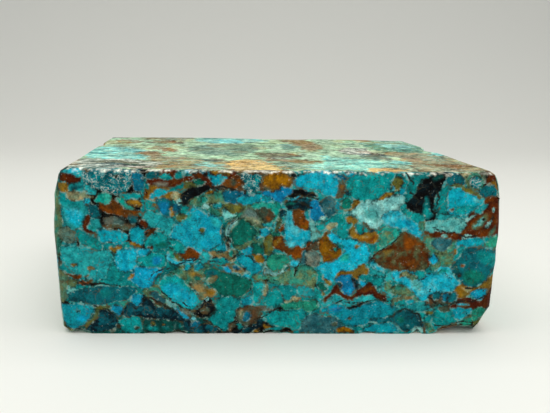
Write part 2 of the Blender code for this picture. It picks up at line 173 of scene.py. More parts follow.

# The stones of the ground front, drawn one by one: kind, then corners in millimetres, across and up.
# A later stone covers an earlier one.
FRONT_STONES = [
    (Stone.PINE, -79, 10, -18, 10, -18, -1, -79, -1), (Stone.TEAL, -48, 28, -18, 28, -18, 9, -48, 9),
    (Stone.TEAL, -18, 62, -18, -1, 79, -1, 79, 62), (Stone.TEAL, -48, 62, -48, 28, -18, 28, -18, 62),
    (Stone.SEDGE, -18, 48.5, -1, 49, 0, 42, -3, 36, -10, 28, -18, 33),
    (Stone.UMBER, -18, 60, 5, 60, 4, 54, -3, 52, -18, 52),
    (Stone.AQUA, -79, 62, -79, 28, -60, 28, -60, 36, -66, 48, -66, 62),
    (Stone.TEAL, -79, 28, -79, 10, -48, 10, -48, 34, -60, 34),
    (Stone.SEDGE, -79, 53, -75.2, 52, -75.8, 46, -74.8, 40, -76, 34, -75.5, 28, -79, 28),
    (Stone.SLATE, -77, 38, -73, 39.8, -71, 37, -71.5, 33, -74, 33, -77, 35),
    (Stone.TEAL, -76, 50.5, -73, 51, -70, 48.5, -68, 47.5, -67, 45, -72, 46, -76, 47),
    (Stone.SKY, -73, 57.5, -72.7, 59.5, -71, 60, -68.5, 59.8, -68.5, 58, -69.3, 56.8, -71, 57.4),
    (Stone.MAROON, -75.8, 57.5, -73.5, 57.8, -70.2, 57.2, -70, 56, -67.8, 56.5, -68.5, 55, -71.5, 54.2,
     -75.4, 54.8),
    (Stone.OCHRE, -76.2, 54.8, -72, 54.2, -72.2, 52.2, -71.3, 51, -73.5, 50.6, -75.8, 51.5),
    (Stone.SAND, -73, 51.2, -71.5, 52, -68.5, 51.2, -67.2, 51.8, -66, 50.5, -63.5, 49.4, -66, 48.8,
     -68, 48.5, -71, 48.2, -73, 48.9),
    (Stone.DEEP, -72, 52.5, -71, 53.8, -68, 54.5, -66, 54, -67, 52.4, -69, 51.5, -71.5, 51.5),
    (Stone.AQUA, -67, 54.2, -64.5, 54, -62.5, 52.4, -62.8, 50.4, -65, 50.6, -67, 52.4),
    (Stone.CRACKLE, -68, 60, -48, 60, -50.5, 56, -52, 52, -56, 50.4, -60, 51.5, -63, 52.5, -67, 54.6),
    (Stone.TEAL, -62, 59.5, -59.6, 59.3, -59.8, 57.6, -61.8, 57.2),
    (Stone.DEEP, -60.6, 57.5, -58.2, 58.3, -57.9, 54, -59.5, 52.8, -60.9, 54.5),
    (Stone.TEAL, -57.4, 59.6, -54.4, 59.8, -53.8, 58, -56, 57.2, -57.4, 57.8),
    (Stone.DEEP, -57.2, 56.6, -54.8, 56.5, -54.6, 53, -56.5, 51, -57.6, 53.5),
    (Stone.PIT_SHADE, -67, 59.9, -65.6, 60, -65.4, 58.4, -66.6, 58.2),
    (Stone.PIT_SHADE, -57.3, 57.4, -55.4, 57.4, -55.2, 56.4, -56.6, 56.3),
    (Stone.PIT_SHADE, -51.3, 60, -49.7, 60, -49.7, 58.5, -51, 58.8),
    (Stone.SEA, -64, 48, -63, 50, -62, 51.3, -59, 51.2, -58, 50, -58.3, 48.5, -60, 47, -62.5, 47.5),
    (Stone.TEAL, -55.8, 51, -48, 51.2, -48, 49, -54.4, 49),
    (Stone.BAY, -51, 58.5, -47.5, 58, -46.5, 54, -48, 51.8, -50.3, 52, -51, 55),
    (Stone.RUST, -62.5, 47, -61, 47.2, -60, 46.8, -57.5, 49, -56, 48.3, -55, 46.8, -53.5, 45.3, -51, 45,
     -47.5, 45.3, -47.5, 44, -52, 43.5, -53.5, 42, -54.5, 43.3, -57, 43.2, -60, 44, -62, 44.5),
    (Stone.OCHRE, -53.4, 48.5, -51.5, 48.9, -48.3, 48.7, -47.8, 46.3, -50, 46.7, -51.6, 47.2),
    (Stone.SEA, -56, 48.4, -54.2, 46.4, -52, 45.1, -50.6, 45.2, -50.6, 46.3, -52.4, 47, -53.8, 48.6,
     -54, 50, -56.6, 49.8),
    (Stone.DEEP, -66.5, 47, -63.3, 47, -62.3, 45, -62.2, 42.4, -64, 41.2, -66, 43, -65.5, 45),
    (Stone.POWDER, -74.4, 44.6, -72, 46, -69, 45.6, -67.4, 43.6, -68, 41, -69.5, 38.6, -72, 40.3, -74, 41),
    (Stone.SKY, -67.6, 47.6, -66.8, 49.2, -65.2, 49, -65.1, 47.4, -66.5, 46.9),
    (Stone.MAROON, -67.2, 43.2, -66.3, 43.6, -65.4, 42.5, -66.2, 40.5, -67, 38.6, -65, 37.3, -63.8, 36.2,
     -65.2, 36.2, -68.9, 38.2, -68, 40.5),
    (Stone.JADE, -66, 39.8, -64, 39.9, -63.6, 38.5, -64.8, 37.6, -66, 38.3),
    (Stone.GREY, -61.5, 42.4, -57, 43, -54, 42.5, -54, 40.4, -58, 39.8, -61.6, 40.2),
    (Stone.UMBER, -62, 40.1, -57, 39.8, -53, 40.3, -50, 40.4, -51, 38.5, -53.5, 37.6, -56, 38.8, -61, 38.6),
    (Stone.DEEP, -52.8, 43.2, -51, 43.8, -49.4, 43, -49.7, 41.2, -51.5, 40.2, -52.9, 41.2),
    (Stone.TEAL, -71.5, 39, -68.5, 38, -66, 36.5, -63.5, 35, -61.5, 32.5, -62.5, 31, -68, 31.8, -70.5, 35),
    (Stone.CYAN, -63.8, 37.6, -61.5, 38.4, -58, 38.2, -54, 37.6, -52.8, 36.2, -54, 34, -56.5, 32.3, -59, 34,
     -62, 33.4, -63.2, 35.5),
    (Stone.CYAN, -52.6, 38, -50.5, 39.3, -48, 38.6, -46.6, 37, -47, 34, -49, 32.4, -51.8, 33.8, -52.6, 36),
    (Stone.AQUA, -77, 32, -74, 32.5, -70, 31.8, -65, 31, -60, 31.2, -58.5, 29, -58.7, 26.5, -60.5, 24,
     -61, 21, -63, 20, -65.5, 19.2, -68, 20.4, -72, 22.3, -74.8, 25, -77, 28),
    (Stone.AQUA, -74.5, 28.5, -70, 31, -63, 30.5, -60, 28, -62, 24, -66, 24.5, -67.5, 26, -71, 24.6,
     -74.3, 26),
    (Stone.OCHRE, -59.2, 32.6, -57.5, 31.6, -56, 33, -55.3, 31.8, -57, 30, -58.4, 29.4, -59.6, 31),
    (Stone.OCHRE, -53, 34, -51.5, 32.5, -49, 31.8, -48.3, 32.8, -51, 33.7),
    (Stone.PIT_SHADE, -71, 33.8, -70.2, 34, -69.6, 32.6, -69.9, 31.8, -70.9, 32.2),
    (Stone.SKY, -57.6, 30.5, -55, 31.6, -50, 32, -49.3, 30, -50.5, 27, -51.4, 24.5, -54, 23, -57, 24,
     -58.3, 27),
    (Stone.AZURE, -51.2, 25.2, -48, 25, -45, 24.7, -41.3, 24.1, -41, 23, -43.5, 21.8, -44.5, 19,
     -46.5, 16.4, -50, 17.8, -52.6, 20, -52, 22.5),
    (Stone.OCHRE, -53.2, 21, -52.2, 22.6, -51.4, 22.5, -52.2, 20.8, -53, 20.3),
    (Stone.OCHRE, -67.4, 25, -65, 24.4, -65.4, 23.7, -66.8, 23.9, -67, 22, -68, 21.4, -69.5, 21.2,
     -67.8, 20.8, -66.6, 22),
    (Stone.OCHRE, -72.8, 26, -71.2, 25.8, -71.6, 24.9, -72.8, 25.1),
    (Stone.UMBER, -77.8, 28, -76, 27, -76.2, 25.5, -77.6, 25),
    (Stone.MOSS, -79, 25, -75.6, 23, -74, 20, -75, 17, -75.2, 12, -79, 11),
    (Stone.RUST, -76, 23.8, -74, 22.2, -71.5, 22, -70, 22, -69.4, 20.6, -71, 20.3, -73.5, 20.8,
     -75.5, 22.4),
    (Stone.RUST, -70.2, 19.8, -67, 19.4, -66.3, 20.6, -65.8, 19, -68, 18.1, -70.5, 18.4, -71, 19),
    (Stone.RUST, -78, 20.3, -75.6, 20, -75.2, 18.6, -78, 18.5),
    (Stone.SEDGE, -75, 20, -71, 20.4, -70.8, 18.4, -72, 17, -74.5, 17.2),
    (Stone.PALE, -74.8, 16.3, -73, 17, -70.6, 16.3, -73, 15.5, -73.8, 14.5, -74.9, 15),
    (Stone.DEEP, -74.8, 14, -72.8, 15.8, -70, 16.8, -66, 17.6, -62, 18, -58, 17.6, -54, 18, -51, 17.6,
     -50.6, 16, -52.5, 14, -54, 12.2, -58, 12, -62, 11.2, -65, 10.3, -68, 11, -71, 11.8, -74.5, 12),
    (Stone.LAGOON, -64, 16.5, -61, 17, -58, 16, -60, 13.8, -63, 13),
    (Stone.PIT_SHADE, -67.3, 19, -64, 18.9, -62.2, 19.1, -64, 18.1, -67, 17.9),
    (Stone.CYAN, -78, 11, -72, 11.2, -68, 11, -66, 10, -65.6, 8.3, -67.3, 6.8, -68, 4.8, -70, 3, -72, 2.2,
     -74, 1.7, -75.5, 2.8, -77.3, 4.5, -78, 8),
    (Stone.AZURE, -72.6, 6.2, -71.6, 7.4, -69, 7.4, -67.6, 6.4, -68.4, 4.6, -70, 3.8, -72, 4.6),
    (Stone.AZURE, -70, 8.6, -68.6, 9.8, -66.4, 9.6, -65.8, 8.2, -67.6, 7.3, -69.6, 7.4),
    (Stone.PIT_SHADE, -72.4, 8.8, -71, 8.9, -70.8, 8.1, -72, 8),
    (Stone.OLIVE, -65.5, 10.3, -61, 10.8, -59.8, 10, -61.5, 9.1, -64, 9.1, -64.3, 7.6, -65.2, 5.8, -67, 3.8,
     -69, 2.4, -69.2, 3.3, -67.3, 5, -66.2, 6.6, -65.3, 8.5),
    (Stone.INK, -64, 9.2, -60, 8.6, -58, 7, -57.5, 4.8, -55, 5, -57, 3, -60, 1.5, -62, 0.8, -67, 0.3,
     -69.3, 1.3, -67.3, 3.3, -65.3, 5.3, -64.2, 7.5),
    (Stone.AZURE, -60.1, 9.2, -59.2, 10.8, -57, 10.7, -55.5, 9.8, -56.3, 7.6, -57, 6.5, -58.5, 8),
    (Stone.SEA, -57, 12.4, -53, 12.3, -54, 10, -55.6, 9.3, -55.8, 10.6),
    (Stone.INK, -54.4, 11, -52.8, 12.2, -50.5, 10, -48.8, 11.3, -47.8, 13.8, -46.5, 14.2, -44, 12.2,
     -42, 11.1, -38, 9.1, -35.8, 7.8, -33, 5, -32, 3, -34, 1, -36, 5, -40, 5.4, -45, 5.6, -50, 6.6,
     -54, 6.2, -56.5, 6.8, -56, 8.8),
    (Stone.AZURE, -52.6, 12.5, -52, 14.7, -50, 15.1, -48.2, 14, -49.2, 11.3, -50.5, 10.1, -52.1, 11),
    (Stone.LAGOON, -57.6, 4.6, -55, 6.1, -52, 6.9, -50, 6.4, -48.6, 3, -49.5, 0.3, -56, 0.3, -57, 3),
    (Stone.UMBER, -58.2, 3.5, -57, 3.6, -56.6, 2.4, -58, 2.2),
    (Stone.UMBER, -51.6, 2.9, -50.4, 2.8, -50.2, 1.6, -51.5, 1.7),
    (Stone.OLIVE, -78, 4.5, -75.5, 2.7, -73.3, 1.4, -75, 0.3, -78, 1),
    (Stone.PIT_SHADE, -74.6, 1.2, -71.5, 2.1, -70.2, 1.9, -68.8, 0.8, -72, 0.5),
    (Stone.GREY, -61, 1.6, -59.6, 2.3, -58.2, 1.4, -58.5, 0.3, -60.8, 0.3),
    (Stone.MAROON, -46, 60, -36, 60, -33, 57, -30, 58, -25, 60, -18, 60, -18, 52, -26, 53, -34, 54, -40, 53,
     -46, 54),
    (Stone.DEEP, -46, 58.4, -44, 59.1, -41, 58.9, -41.4, 56.5, -44, 55.8, -46.2, 56.2),
    (Stone.LAGOON, -41.6, 57.3, -40, 58, -37.8, 58, -37.6, 56, -40, 55.8, -41.6, 56.2),
    (Stone.PALE, -41.4, 60.3, -39.5, 59.4, -37, 60.2, -39, 60.6),
    (Stone.LAGOON, -36.8, 57, -35.8, 58.8, -34, 58.6, -33.2, 57, -34.5, 56.1, -36, 56.2),
    (Stone.SKY, -33.6, 59.6, -32.5, 60.4, -31.2, 59.5, -31.4, 58.2, -33, 57.9),
    (Stone.GREY, -44, 55, -41.5, 55.5, -38.4, 55.1, -38.5, 53.7, -41, 53.1, -43.6, 53.5),
    (Stone.OLIVE, -36, 53, -33, 55.4, -30, 55.4, -27.8, 53.8, -30.5, 53, -34, 52.6),
    (Stone.OCHRE, -46, 54.2, -38, 52.9, -35, 51, -30, 52.4, -35.5, 49, -45.5, 48, -47.5, 50),
    (Stone.LAGOON, -38.9, 53, -36.5, 53.7, -33.6, 55.1, -32.7, 53.8, -35, 52.4, -37.5, 51.5, -39.2, 51.7),
    (Stone.CYAN, -43.8, 51.2, -43, 52.6, -41, 52.8, -38.9, 52.1, -38.9, 51, -41.5, 50, -45, 49,
     -45.2, 50.2),
    (Stone.SOOT, -34.9, 51, -32, 52.9, -29, 53.5, -26, 53.8, -24, 53.5, -24.5, 52.6, -26.5, 51.4,
     -28.5, 49.9, -31, 48.9, -32, 47.2, -34, 47, -35.2, 48.8),
    (Stone.SOOT, -23.7, 53.8, -20.5, 53.6, -18.5, 52.8, -19.5, 52, -21.5, 52.5, -23.4, 52.8),
    (Stone.OCHRE, -26.2, 51.2, -24.5, 52.6, -22, 52.4, -24.5, 51, -26, 50.7),
    (Stone.PIT_SHADE, -26.6, 58.6, -25.8, 58.5, -25.4, 57.4, -26.3, 57.3),
    (Stone.JADE, -30.2, 56.4, -28, 56.1, -25.6, 55, -27, 53.9, -29.5, 54.1, -30.5, 55.2),
    (Stone.SKY, -28.9, 58.8, -27.5, 59.6, -26, 59, -26.4, 58.1, -28, 58.1),
    (Stone.OCHRE, -25.2, 60, -17, 60, -17, 57.2, -20, 57.8, -23.5, 57.4, -24.5, 58.5),
    (Stone.CYAN, -25.2, 58.6, -23.8, 57.4, -21.5, 57.8, -18.6, 57, -19.1, 56, -21, 54.2, -23.3, 54.1,
     -23.9, 55.5, -25.1, 57),
    (Stone.RUST, -20.7, 55, -18, 56.2, -17, 53, -19.8, 53.1),
    (Stone.SEDGE, -31.6, 48.6, -30, 49.6, -26, 50.9, -22, 52, -19.3, 52, -18, 50, -18, 42.4, -21, 43,
     -24, 44.5, -29, 47, -31.6, 46.4),
    (Stone.SEA, -27.7, 49.4, -26, 50.1, -25.1, 49, -25.8, 47.7, -27.7, 48),
    (Stone.AQUA, -24, 47.5, -22, 48, -20.2, 47.2, -21, 45.9, -23.6, 46.2),
    (Stone.CHALK, -27.4, 47.3, -26, 47.9, -24.8, 47.2, -24.7, 45.8, -26, 45.5, -27.3, 46.1),
    (Stone.PIT_SHADE, -25, 47.7, -24, 47.7, -24, 46.8, -25, 46.9),
    (Stone.DEEP, -43.7, 48.8, -41, 50, -38.4, 49.5, -37.4, 48, -37.2, 43, -39, 42.2, -41, 43.5,
     -42.8, 46.5),
    (Stone.BLUE, -43, 47.3, -42, 48.7, -40, 49, -38.3, 48, -38.2, 46, -38.8, 44, -40.2, 42.9, -41.6, 43.8,
     -42.3, 45.5),
    (Stone.OCHRE, -38.2, 47, -37.4, 46, -36.8, 43.8, -37.6, 42.3, -38.4, 43.6),
    (Stone.BAY, -37.4, 47.3, -35.8, 47.6, -34.3, 46.4, -34.7, 44.6, -36.5, 43.7, -37.5, 45),
    (Stone.TEAL, -47, 47.5, -45.5, 49.1, -43.8, 48.5, -42.6, 46.8, -43.5, 45.2, -46.2, 45.2),
    (Stone.OCHRE, -44.3, 47.6, -43.3, 47.4, -43.2, 46.6, -44.2, 46.5),
    (Stone.SAND, -38.4, 50.2, -36, 51.9, -34.9, 51, -35.1, 49, -36, 48.2, -37, 49),
    (Stone.CHALK, -36.4, 48.4, -35.4, 49.6, -34.8, 48.8, -35, 46.8, -35.6, 47),
    (Stone.MAROON, -47.5, 52.2, -45.2, 52.3, -44.8, 50.5, -45.8, 48.6, -47.2, 49.2),
    (Stone.TEAL, -46.6, 54.4, -45.4, 54.6, -44.6, 53, -45.4, 52.2, -46.6, 52.6),
    (Stone.AQUA, -47.5, 44, -45, 45.4, -43, 44.4, -40, 43.1, -37.5, 42.3, -35.9, 41, -37.7, 39.8,
     -38.5, 35.5, -38.8, 31.5, -40.5, 37.6, -42.5, 38.9, -45, 38.4, -46.2, 40, -46.6, 42.3),
    (Stone.MAROON, -49.5, 40.5, -48.5, 42.2, -47, 41.8, -46.1, 40.5, -46.2, 38.8, -48, 39),
    (Stone.TEAL, -49.6, 44.3, -47.4, 44.4, -47.2, 43.2, -49, 42.9),
    (Stone.RUST, -47.2, 38.6, -44.2, 38.6, -42.2, 38.7, -43.4, 37.8, -46, 35.7, -47.2, 36.2),
    (Stone.PIT_SHADE, -47, 37.4, -46, 37.5, -45.8, 36.4, -46.9, 36.2),
    (Stone.LAGOON, -47.6, 34, -45, 36.5, -42.5, 37.9, -40.1, 37, -38.7, 34.5, -39.1, 32.2, -42, 31.4,
     -43, 30.1, -45, 29.9, -46.6, 31, -47.6, 32.5),
    (Stone.JADE, -44.5, 33.6, -41, 34.6, -38.9, 33.6, -39.3, 32, -42, 31.6, -43.6, 31.4),
    (Stone.MAROON, -46.4, 32.2, -45, 33, -44.5, 31.8, -45.2, 31, -46.2, 31.4),
    (Stone.SKY, -38.7, 36.5, -37, 40, -35, 41.5, -33, 44.6, -30.5, 46.2, -28, 45.6, -26, 44.5, -23, 43.6,
     -20.5, 41.8, -20.2, 38.5, -21, 36, -20.5, 34, -22, 33, -24, 31.4, -28, 30.1, -30, 30.3, -33, 32,
     -35, 33, -37.5, 34.8),
    (Stone.SEA, -35.5, 41.4, -34, 43.4, -31, 44.8, -30.4, 43, -32, 41.4, -34, 40.8),
    (Stone.OLIVE, -36.8, 42.8, -35, 43.8, -32.8, 43.5, -33, 42.2, -35.6, 41.4),
    (Stone.AQUA, -25, 43.6, -22, 43.2, -20.6, 41.4, -20.8, 38, -23, 39, -24.8, 41),
    (Stone.OLIVE, -28.6, 38, -27.4, 39.2, -26.3, 38.6, -26.4, 37.2, -27.6, 36.8),
    (Stone.OLIVE, -25.4, 44.2, -24.6, 44.2, -24.7, 43.2, -25.5, 43.2),
    (Stone.TEAL, -39, 35, -37, 35.4, -35, 34, -33.1, 32, -33, 30, -35.5, 29.1, -37, 30.8, -38.8, 32.5),
    (Stone.LAGOON, -50, 31, -47, 30.4, -41, 30.2, -39.9, 28, -40.2, 25.2, -42, 24.4, -50, 25),
    (Stone.SKY, -50, 31.5, -47, 31.7, -45.4, 30.2, -47, 28.5, -50, 29),
    (Stone.BLUE, -45.6, 27.5, -44.5, 29.1, -42.5, 29.4, -41.1, 28, -41.4, 26, -43, 24.9, -45, 25.2),
    (Stone.RUST, -33.2, 32.2, -31, 32.2, -30, 30.9, -27.8, 29.8, -28.2, 27.9, -32.5, 26.8, -34, 28.2,
     -36.2, 28.4, -37.8, 30.2, -35.5, 29.8, -33.3, 29.6),
    (Stone.SEA, -39.2, 31.9, -37.8, 31.7, -37.2, 29, -35.8, 27.1, -38, 27.4, -39.3, 29.8),
    (Stone.OLIVE, -37.4, 30.6, -36, 29.6, -34.4, 27.8, -36, 27, -37, 28.6),
    (Stone.POWDER, -40.1, 29.5, -39.3, 30.5, -38.5, 28.5, -37, 27.3, -35, 26.8, -33, 27.6, -31.8, 28.4,
     -30, 28.4, -30.3, 26.5, -33, 26.3, -35.5, 25.4, -38, 25.9, -39.7, 27.4),
    (Stone.TAN, -25.3, 30.4, -23.5, 31.1, -21.5, 30, -18.5, 31.4, -16, 31.6, -15.8, 27, -20, 28.3,
     -23, 28.3),
    (Stone.CYAN, -22.9, 32.3, -21, 33.5, -18.8, 32.6, -19.1, 31, -21, 30.3, -22.7, 31.2),
    (Stone.AQUA, -27.2, 31, -24.5, 30.5, -24.5, 28.5, -25.6, 26.6, -24, 25.9, -25, 25.1, -28, 26.8,
     -28.6, 29),
    (Stone.TEAL, -24.6, 28.4, -18, 28.6, -17.4, 25.6, -21, 25.4, -24.8, 26),
    (Stone.BAY, -23.9, 27.8, -22.5, 28.4, -21.1, 27.8, -21.5, 26.3, -23.1, 26.1),
    (Stone.BAY, -19.9, 28, -18.8, 28.6, -17.9, 27.5, -18.3, 26.1, -19.7, 26.3),
    (Stone.SEDGE, -49, 16.5, -42.8, 18.5, -40, 22, -35, 25.4, -28, 26.4, -24, 25.6, -28, 20, -34, 14,
     -42, 9, -47.5, 14),
    (Stone.LAGOON, -42.9, 19, -41.5, 21.3, -38, 22, -36, 21.7, -34.5, 20.6, -33, 18.3, -31, 16.2,
     -28.9, 14.6, -28.5, 12.5, -29.3, 10.1, -31, 8.8, -33, 9, -35, 9.8, -37.5, 11.2, -39.5, 12.9,
     -41.5, 14.8, -42.8, 17),
    (Stone.SKY, -42.4, 17.5, -41, 19.4, -37, 20, -34.5, 19, -31, 15.8, -29.2, 14.2, -28.9, 12.5,
     -29.7, 10.5, -31, 9.3, -33, 9.5, -35, 10.3, -37.5, 11.8, -39.5, 13.4, -41.3, 15.2),
    (Stone.STEEL, -46.7, 15.5, -44.5, 16.1, -43, 15.2, -41, 13.2, -39.6, 12, -41, 11.1, -43, 11.7,
     -45, 13.4),
    (Stone.UMBER, -47.4, 14.2, -45.6, 14, -43.4, 12.2, -41, 11, -38.4, 10.2, -38.2, 9.2, -41, 9.8, -44, 11),
    (Stone.CHALK, -40.2, 13, -38.5, 12.5, -37.1, 11, -37.7, 9.6, -39, 10.6, -40.4, 11.4),
    (Stone.GREY, -35.6, 9.9, -33, 8.7, -31, 8.5, -31.5, 6.8, -33, 6.8, -35.2, 8.8),
    (Stone.AZURE, -37.6, 9.8, -36.3, 9.8, -34, 7.7, -32.1, 6, -32.5, 5.1, -34, 5.7, -36.4, 8),
    (Stone.SOOT, -31.2, 8.2, -29, 9.6, -28, 11.5, -26.6, 13.2, -24, 13.4, -23, 9.5, -24.5, 7.2, -27, 5.8,
     -29, 6.2),
    (Stone.UMBER, -28.4, 9.4, -26.8, 10.6, -25, 10, -24.4, 8.4, -26.4, 7.4, -28.2, 8),
    (Stone.POWDER, -31.8, 6.3, -30.5, 6.6, -29.7, 5.6, -31, 5.1),
    (Stone.TAN, -32.2, 18.8, -30.5, 19.6, -28.5, 20.4, -27, 19, -25.5, 17.3, -23.5, 16.5, -22.3, 15.3,
     -24, 13.6, -26, 13.7, -27, 12.5, -28.2, 12.8, -28.3, 15, -30, 16.3, -31.6, 17.3),
    (Stone.OCHRE, -27.5, 18.6, -25.5, 17.4, -22.3, 15.6, -24, 13.5, -26.3, 14.4, -27.2, 16.5),
    (Stone.RUST, -32.4, 18.6, -31.2, 19.4, -30.9, 18.2, -31.8, 17.6),
    (Stone.OCHRE, -33, 23, -32, 24, -31.4, 24.6, -31.3, 26.4, -30.3, 26.5, -30.2, 24, -28.5, 23.3,
     -27.4, 21.6, -26.2, 20.6, -26.9, 19.3, -29, 21.1, -31, 20.9, -32.6, 22),
    (Stone.JADE, -30.4, 21.2, -29, 21.8, -27.8, 21, -28.6, 19.8, -30.2, 20.2),
    (Stone.CYAN, -34, 24.8, -33, 26.2, -31.5, 26.3, -31.4, 24.7, -32.5, 23.7, -33.6, 23.8),
    (Stone.CYAN, -30.3, 25.5, -29, 26.6, -27.3, 26.4, -26.6, 25, -28, 23.8, -30.1, 23.7),
    (Stone.JADE, -27.5, 23, -25.8, 24.5, -24, 25, -20, 23.5, -16, 22.2, -13, 21.2, -10.2, 19.9, -9.7, 18.5,
     -11.5, 15.9, -13.5, 14.3, -16, 13.5, -20, 14, -22.5, 15.7, -24.8, 17.8, -26.6, 20.5),
    (Stone.DEEP, -27.3, 22.8, -25.8, 24.2, -24, 24.7, -21.4, 23.6, -21.6, 22, -24, 21.4, -26.2, 21),
    (Stone.TAN, -25.9, 20.5, -22.4, 22.1, -22.7, 20, -23.8, 18.9, -25.6, 19.2),
    (Stone.TEAL, -23.2, 13.2, -21, 13.6, -18, 14.2, -15, 13.7, -13.9, 11.5, -15.4, 9.5, -15.9, 6, -17, 3.5,
     -19, 0.6, -21, 1.4, -22.5, 3, -25, 3.9, -26.2, 5.5, -24.3, 6.7, -22.7, 8),
    (Stone.PINE, -49, 5.8, -44, 5.4, -38, 5.2, -34.4, 4.8, -33.4, 2.8, -34, 0.2, -49, 0.2),
    (Stone.LAGOON, -47.8, 2.6, -46, 4.4, -43.6, 3.6, -42.7, 2, -44.6, 0.8, -47, 1),
    (Stone.OLIVE, -46, 4.1, -45.2, 4.7, -44.2, 4.2, -44.4, 3.2, -45.6, 3.1),
    (Stone.LAGOON, -42.5, 3.4, -41, 4.6, -39.4, 3.6, -39.3, 2, -40.6, 1.2, -42.3, 1.8),
    (Stone.OCHRE, -42, 3.9, -40.6, 3.8, -40.8, 3.2, -42, 3.3),
    (Stone.CHALK, -37.7, 4.4, -37, 4.4, -36.9, 1.6, -37.6, 1.6),
    (Stone.LAGOON, -36.4, 3.6, -35.4, 4.8, -34.4, 3.8, -34.6, 2.2, -35.9, 2.2),
    (Stone.PIT_SHADE, -38.4, 0.8, -36, 1.4, -33.4, 0.8, -33.4, 0.1, -38.4, 0.1),
    (Stone.INK, -34, 5, -32, 5, -29.5, 3.2, -25.5, 4.5, -23, 2.8, -21, 1, -19, 0.2, -33, 0.2, -34.4, 2.5),
    (Stone.BAY, -32.1, 3.8, -30.5, 5.1, -28.5, 4.5, -28.7, 3, -30, 2, -31.9, 2.4),
    (Stone.MAROON, -18.3, 58.9, -15.8, 58.9, -14.9, 57, -16, 55.8, -18.1, 56.3),
    (Stone.RUST, -20, 56.5, -18, 56, -16.5, 55.5, -15.5, 56.8, -14, 57, -13.4, 54.5, -14.5, 53.4,
     -17.5, 52.7, -19.5, 52.7, -20, 54),
    (Stone.UMBER, -18, 55.6, -16.5, 56.4, -14.7, 55.6, -15.2, 53.8, -17.4, 53.6),
    (Stone.OCHRE, -20, 59.8, -11, 59.8, -8.8, 58.3, -14, 57.8, -15, 58.9, -18.5, 59, -20, 58),
    (Stone.CRACKLE, -14.1, 57.8, -12.8, 58.4, -11, 57.4, -8.5, 58.4, -6.9, 57.5, -7.1, 55.3, -8.1, 54.8,
     -7.9, 53, -9, 51.6, -11.5, 51.8, -13.1, 53.4, -13.4, 55.5),
    (Stone.CHALK, -12.9, 56, -11.8, 56.4, -10, 54.6, -8.2, 54.9, -9.8, 53.5, -11.8, 54.4),
    (Stone.LAGOON, -9.7, 56.6, -9.1, 57.9, -7.8, 57.8, -7.3, 56, -7.8, 55, -9.3, 55),
    (Stone.DEEP, -13.2, 54.4, -12, 55.4, -11, 54.2, -11.4, 53.2, -12.8, 53.2),
    (Stone.GOLD, -7.7, 55, -6.6, 58, -4, 59.6, 0, 59.7, 1.5, 58.5, 3, 57.5, 3.9, 55.5, 3.6, 53.3, 1.5, 53.4,
     0, 54.2, -0.6, 53.4, -1.2, 52.1, -3, 52, -5, 52.9, -6.4, 53.8),
    (Stone.MAROON, -6.4, 59, -5.2, 59, -5, 58, -6.2, 57.9),
    (Stone.RUST, -4.3, 57.6, -3.2, 57.7, -3, 56.7, -4, 56.6),
    (Stone.RUST, -3.4, 59.4, -1.4, 59.4, -1.6, 58.5, -3, 58.4),
    (Stone.RUST, 1.5, 55.2, 3, 55.6, 3.4, 54.2, 2, 54),
    (Stone.BAY, -20.3, 52, -17, 52.6, -14, 52.2, -11, 51.2, -8, 50.9, -8.5, 48.4, -10, 47.8, -13, 47,
     -16, 48, -18.5, 47.3, -20, 49.5),
    (Stone.CYAN, -15, 50.6, -11, 50.6, -8, 50.9, -6, 52.5, -3, 52.2, -3, 48.2, -5, 48.1, -8, 48.3,
     -10, 47.8, -13, 47, -15.5, 48.2),
    (Stone.BLUE, -7.4, 51.6, -6, 52.5, -4, 52.3, -1, 52.3, -0.3, 54.2, 2, 53.4, 4, 53.2, 4, 51.5, 2, 50.5,
     0.5, 49, -0.5, 47.2, -2, 48.2, -3, 50, -6, 50.2),
    (Stone.SOOT, 2.4, 58.6, 4.5, 59, 5.6, 57.5, 5.1, 56.2, 3.8, 56.7),
    (Stone.SOOT, 3.9, 53.6, 6, 53.2, 8.5, 52.7, 12, 51.2, 12.8, 50, 9, 50.6, 6, 50.3, 3, 49.9, 1.5, 50.2,
     3.5, 51.5),
    (Stone.TEAL, 2, 59.8, 10, 60, 12, 58, 6, 57, 5, 58.4),
    (Stone.SKY, 3.9, 55.5, 5, 57.5, 7.5, 58.4, 12, 59.4, 17, 59, 19.5, 57, 19.6, 53, 19, 50.4, 15, 50.8,
     12, 52.5, 10, 53.3, 8, 52.7, 6, 53.3, 4.2, 54.4),
    (Stone.AQUA, 6, 53.6, 8, 54.4, 12, 53.6, 16, 51.8, 15, 51, 12, 52.6, 10, 53.4, 8, 52.8),
    (Stone.INK, 0, 47.8, 3, 49.6, 5, 50.3, 10, 50.2, 10.2, 46.5, 8, 45.3, 3, 45.4, 0, 46, -1, 45.4,
     -1.2, 42.8, 0.6, 42.8, 1.6, 44.2, 3, 45.4),
    (Stone.SOOT, 5.2, 47.4, 6.4, 48.9, 8.8, 48.8, 9.6, 47.4, 8.4, 46.4, 6, 46.4),
    (Stone.JADE, 0.4, 48, 3, 49, 5, 48.8, 4.6, 47.6, 2, 47, 0.4, 47),
    (Stone.SKY, 1.5, 49.1, 3.5, 49.6, 6.5, 50.9, 7.2, 50.7, 4, 49.1, 2, 48.7),
    (Stone.SKY, 7.2, 50, 8.5, 50.5, 9, 49.8, 7.8, 49.5),
    (Stone.OLIVE, -20.2, 47.5, -17, 48, -14, 47.5, -13, 46, -15, 44.7, -17, 44.1, -19, 45.4),
    (Stone.PALE, -20.4, 46.2, -18, 45.3, -15.4, 43.6, -17, 42.6, -20.4, 42.3),
    (Stone.GREY, -14.2, 44, -12.5, 46.7, -11, 46.5, -9, 45.7, -6.5, 45.2, -8, 43.2, -6.3, 41.2, -8, 39.6,
     -10.5, 40.8, -12, 42.1, -13.5, 42.3, -15.2, 43),
    (Stone.SAND, -14, 43.4, -12.5, 43.9, -10, 43.6, -8, 42.6, -6.4, 41.2, -8, 39.7, -10.5, 40.9, -12, 42.2),
